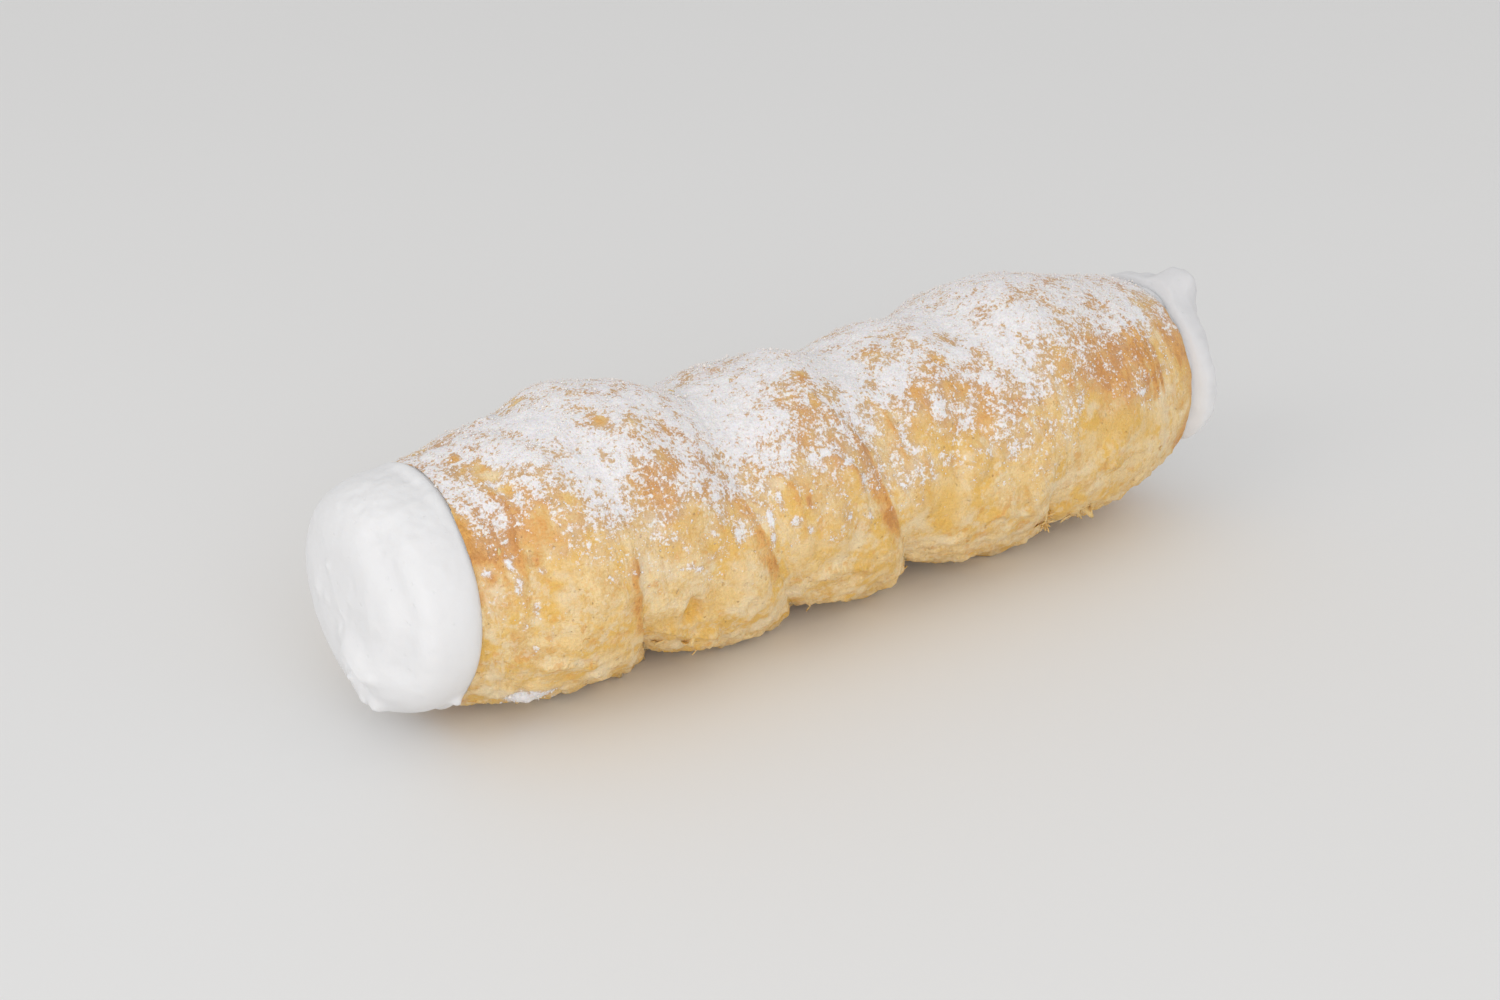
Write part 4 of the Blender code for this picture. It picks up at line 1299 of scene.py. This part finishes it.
class ROLL_OT_stage(bpy.types.Operator):
    """Add the camera, the floor and the soft studio light"""

    bl_idname = "cream_roll.stage"
    bl_label = "Stage"

    def execute(self, context):
        stage = context.scene.cream_roll.stage
        self.add_camera(context)
        self.add_floor(stage)
        self.add_light("key_light", KEY_PLACE, stage.key)
        self.add_light("fill_light", FILL_PLACE, stage.key * FILL_SHARE)
        world = bpy.data.worlds.new("studio")
        world.use_nodes = True
        background = world.node_tree.nodes["Background"]
        background.inputs["Color"].default_value = (1, 1, 1, 1)
        background.inputs["Strength"].default_value = stage.ambient
        context.scene.world = world
        context.scene.view_settings.view_transform = "Standard"
        return {"FINISHED"}

    def add_camera(self, context):
        data = bpy.data.cameras.new("camera")
        data.lens = CAMERA_LENS
        data.clip_start = 0.01
        camera = add_object("camera", data)
        turn = Matrix.Rotation(CAMERA_PAN, 4, "Z") @ Matrix.Rotation(CAMERA_TILT, 4, "X")
        place = (CAMERA_PLACE + Vector((MIDDLE_X, AXIS_Y, 0))) * MM
        camera.matrix_world = Matrix.Translation(place) @ turn @ Matrix.Rotation(CAMERA_ROLL, 4, "Z")
        context.scene.camera = camera

    def add_floor(self, stage):
        corners = ((-1, -1), (1, -1), (1, 1), (-1, 1))
        data = bpy.data.meshes.new("floor")
        data.from_pydata([(x * FLOOR_HALF, y * FLOOR_HALF, 0) for x, y in corners], [], [(0, 1, 2, 3)])
        data.materials.append(floor_material(stage))
        add_object("floor", data)

    def add_light(self, name, place, power):
        data = bpy.data.lights.new(name, "AREA")
        data.shape = "DISK"
        data.size = LIGHT_SIZE
        data.energy = power
        light = add_object(name, data)
        light.location = place * MM
        light.rotation_euler = (-place).to_track_quat("-Z", "Y").to_euler()


# ---- Pieces ----


class ROLL_OT_crust(bpy.types.Operator):
    """Add the wound and baked pastry tube"""

    bl_idname = "cream_roll.crust"
    bl_label = "Crust"

    def execute(self, context):
        settings = context.scene.cream_roll
        outer, values = crust_points()
        inner = lip_and_bore()
        rings = np.concatenate([outer, inner])
        for name, outside in values.items():
            inside = np.full(inner.shape[:2], INNER_VALUES.get(name, 0.0))
            values[name] = np.concatenate([outside, inside])
        faces = grid_faces(len(rings), CRUST_ROUND, closed=True)
        material = crust_material(settings.crust, settings.sugar)
        piece = add_piece("crust", rings.reshape(-1, 3), faces.tolist(), material, values)
        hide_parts("pastry")
        return {"FINISHED"}


class ROLL_OT_cream(bpy.types.Operator):
    """Add the whipped cream that fills the tube and stands out of both mouths"""

    bl_idname = "cream_roll.cream"
    bl_label = "Cream"

    def execute(self, context):
        rings = np.concatenate([front_cream(), bore(CREAM_ROUND, CREAM_CORE_RINGS, BORE_GAP), back_cream()])
        tips = np.array([rings[0].mean(axis=0), rings[-1].mean(axis=0)])
        tips[0, 0] = rings[0, :, 0].min() - TIP_STEP
        tips[1, 0] = rings[-1, :, 0].max() + TIP_STEP
        faces = grid_faces(len(rings), CREAM_ROUND, closed=False).tolist()
        front_tip = len(rings) * CREAM_ROUND
        last = (len(rings) - 1) * CREAM_ROUND
        for here in range(CREAM_ROUND):
            after = (here + 1) % CREAM_ROUND
            faces.append((front_tip, after, here))
            faces.append((last + here, last + after, front_tip + 1))
        points = np.concatenate([rings.reshape(-1, 3), tips])
        # Painted shade: how far the cream is darkened, growing towards the back and the top, partly its
        # greyer see-through look there.
        thin = smoothstep(0, HALF_LENGTH, points[:, 0]) * smoothstep(10, 36, points[:, 2])
        material = cream_material(context.scene.cream_roll.cream)
        piece = add_piece("whipped_cream", points, faces, material, {"thin": thin})
        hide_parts("cream")
        return {"FINISHED"}


def read_all(items, name, width, kind=np.float32):
    """One property of all items of a mesh, a row each."""
    numbers = np.empty(len(items) * width, kind)
    items.foreach_get(name, numbers)
    return numbers.reshape(-1, width)


def crust_samples(name, weights):
    """Centres and normals of the crust's faces, and their chances of being picked.

    Weights turns a value that is kept for the points, such as the sugar, into a chance for each area."""
    data = bpy.data.objects["crust"].data
    centres = read_all(data.polygons, "center", 3)
    normals = read_all(data.polygons, "normal", 3)
    areas = read_all(data.polygons, "area", 1).ravel()
    corners = read_all(data.loops, "vertex_index", 1, np.int32).reshape(-1, 4)
    values = read_all(data.attributes[name].data, "value", 1).ravel()
    chance = areas * weights(values[corners].mean(axis=1))
    return centres / MM - np.array((MIDDLE_X, AXIS_Y, 0)), normals, chance / chance.sum()


def grain_shape():
    """Points and triangles of the plain shape that each sugar grain is bent from."""
    points = np.array([(1, 0, 0), (-1, 0, 0), (0, 1, 0), (0, -1, 0), (0, 0, 1), (0, 0, -1)], float)
    faces = []
    for x, y, z in np.ndindex(2, 2, 2):
        corner = (x, 2 + y, 4 + z)
        faces.append(corner if (x + y + z) % 2 == 0 else corner[::-1])
    return points, np.array(faces)


class ROLL_OT_sugar(bpy.types.Operator):
    """Add the loose grains of powdered sugar"""

    bl_idname = "cream_roll.sugar"
    bl_label = "Powdered sugar"

    def execute(self, context):
        sugar = context.scene.cream_roll.sugar
        rng = np.random.default_rng(7)
        centres, normals, chance = crust_samples("sugar", self.grain_chance)
        picked = rng.choice(len(centres), sugar.grains, p=chance)
        size = np.clip(sugar.size / MM * rng.lognormal(0.0, 0.4, sugar.grains), *GRAIN_RADII)
        middle = centres[picked] + rng.uniform(-GRAIN_SCATTER, GRAIN_SCATTER, (sugar.grains, 3))
        middle += normals[picked] * (size * 0.3)[:, None]
        shape, triangles = grain_shape()
        count = len(shape)
        bent = shape[None] * rng.uniform(0.65, 1.2, (sugar.grains, count, 1))
        bent = bent + rng.uniform(-0.35, 0.35, bent.shape)
        points = middle[:, None] + bent * size[:, None, None]
        points[..., 2] = np.maximum(points[..., 2], 0.0)
        faces = triangles[None] + np.arange(sugar.grains)[:, None, None] * count
        material = sugar_material(sugar)
        piece = add_piece("sugar_grains", points.reshape(-1, 3), faces.reshape(-1, 3).tolist(), material)
        return {"FINISHED"}

    @staticmethod
    def grain_chance(cover):
        """Grains lie where there is sugar, and show most where it thins out."""
        return smoothstep(0.12, 0.65, cover) * (1.15 - 0.6 * smoothstep(0.65, 0.9, cover))


class ROLL_OT_flakes(bpy.types.Operator):
    """Add the thin shreds of pastry that stand off the crust"""

    bl_idname = "cream_roll.flakes"
    bl_label = "Flakes"

    def execute(self, context):
        settings = context.scene.cream_roll
        rng = np.random.default_rng(11)
        centres, normals, chance = crust_samples("ahead", self.shred_chance)
        x, y, z = centres.T
        angle = np.arctan2(-y, z - AXIS_HEIGHT)
        torn = in_spots(x, angle, TORN_EDGES)
        chance = chance * np.where(z < AXIS_HEIGHT * 0.9, 1.0, UPPER_CHANCE) * (z > SHRED_FOOT)
        chance *= (1 + TORN_CHANCE * torn) * (np.hypot(y, z - AXIS_HEIGHT) > BACK_MOUTH_RADIUS)
        picked = rng.choice(len(centres), settings.flakes.count, p=chance / chance.sum(), replace=False)
        points = []
        faces = []
        for number in picked:
            thickness = settings.flakes.thickness / MM
            sheet, quads = self.shred(centres[number], normals[number], thickness, torn[number], rng)
            faces += (quads + len(points) * len(sheet)).tolist()
            points.append(sheet)
        piece = add_piece("loose_flakes", np.concatenate(points), faces, flake_material(settings.crust))
        return {"FINISHED"}

    @staticmethod
    def shred_chance(ahead):
        """Shreds stand along the strip's edges, and fewer of them elsewhere."""
        return 0.1 + hill(ahead - 0.8, 1.0)

    @staticmethod
    def shred(centre, normal, thickness, torn, rng):
        """A small curled sheet of little thickness, closed and rooted in the crust. Where that is torn, it
        stands off.
        """
        steps, rows = SHRED_GRID
        length = rng.uniform(*SHRED_LENGTHS) * (1 + 0.4 * torn)
        width = rng.uniform(*SHRED_WIDTHS)
        tilt = rng.uniform(*SHRED_TILTS) + 0.6 * torn
        curl = rng.uniform(*SHRED_CURLS)
        across = np.cross(normal, rng.normal(size=3))
        across /= np.linalg.norm(across)
        along = np.cross(across, normal)
        u, v = np.meshgrid(np.linspace(0, 1, steps), np.linspace(-0.5, 0.5, rows), indexing="ij")
        taper = 1 - 0.65 * u ** 1.5 + rng.uniform(-0.12, 0.12, u.shape)
        lift = length * (tilt * u + curl * u ** 2) + rng.uniform(-0.06, 0.06, u.shape) - 0.15
        top = centre + along * (u * length)[..., None] + across * (v * width * taper)[..., None]
        top = top + normal * lift[..., None]
        bottom = top - normal * thickness
        sheet = np.concatenate([top.reshape(-1, 3), bottom.reshape(-1, 3)])
        sheet[:, 2] = np.maximum(sheet[:, 2], 0.05)
        count = steps * rows
        grid = np.arange(count).reshape(steps, rows)
        quads = []
        for i, j in np.ndindex(steps - 1, rows - 1):
            a, b, c, d = grid[i, j], grid[i + 1, j], grid[i + 1, j + 1], grid[i, j + 1]
            quads.append((a, b, c, d))
            quads.append((a + count, d + count, c + count, b + count))
        border = [*grid[:, 0], *grid[-1, 1:], *grid[-2::-1, -1], *grid[0, -2:0:-1]]
        for here, after in zip(border, border[1:] + border[:1]):
            quads.append((after, here, here + count, after + count))
        return sheet, np.array(quads)


# ---- Panel and registration ----


class ROLL_PT_panel(bpy.types.Panel):
    """Buttons and settings of the cream roll"""

    bl_idname = "ROLL_PT_panel"
    bl_label = "Cream Roll"
    bl_space_type = "VIEW_3D"
    bl_region_type = "UI"
    bl_category = "Cream Roll"

    def draw(self, context):
        settings = context.scene.cream_roll
        for operator, group in (
            (ROLL_OT_stage, settings.stage),
            (ROLL_OT_crust, settings.crust),
            (ROLL_OT_cream, settings.cream),
            (ROLL_OT_sugar, settings.sugar),
            (ROLL_OT_flakes, settings.flakes),
        ):
            box = self.layout.box()
            box.operator(operator.bl_idname)
            for name in group.__annotations__:
                box.prop(group, name)


CLASSES = (
    CrustSettings,
    SugarSettings,
    CreamSettings,
    FlakeSettings,
    StageSettings,
    RollSettings,
    ROLL_OT_stage,
    ROLL_OT_crust,
    ROLL_OT_cream,
    ROLL_OT_sugar,
    ROLL_OT_flakes,
    ROLL_PT_panel,
)


def register():
    for item in CLASSES:
        bpy.utils.register_class(item)
    bpy.types.Scene.cream_roll = bpy.props.PointerProperty(type=RollSettings)


def unregister():
    del bpy.types.Scene.cream_roll
    for item in reversed(CLASSES):
        bpy.utils.unregister_class(item)


def main():
    register()
    bpy.ops.cream_roll.stage()
    bpy.ops.cream_roll.crust()
    bpy.ops.cream_roll.cream()
    bpy.ops.cream_roll.sugar()
    bpy.ops.cream_roll.flakes()


if __name__ == "__main__":
    main()
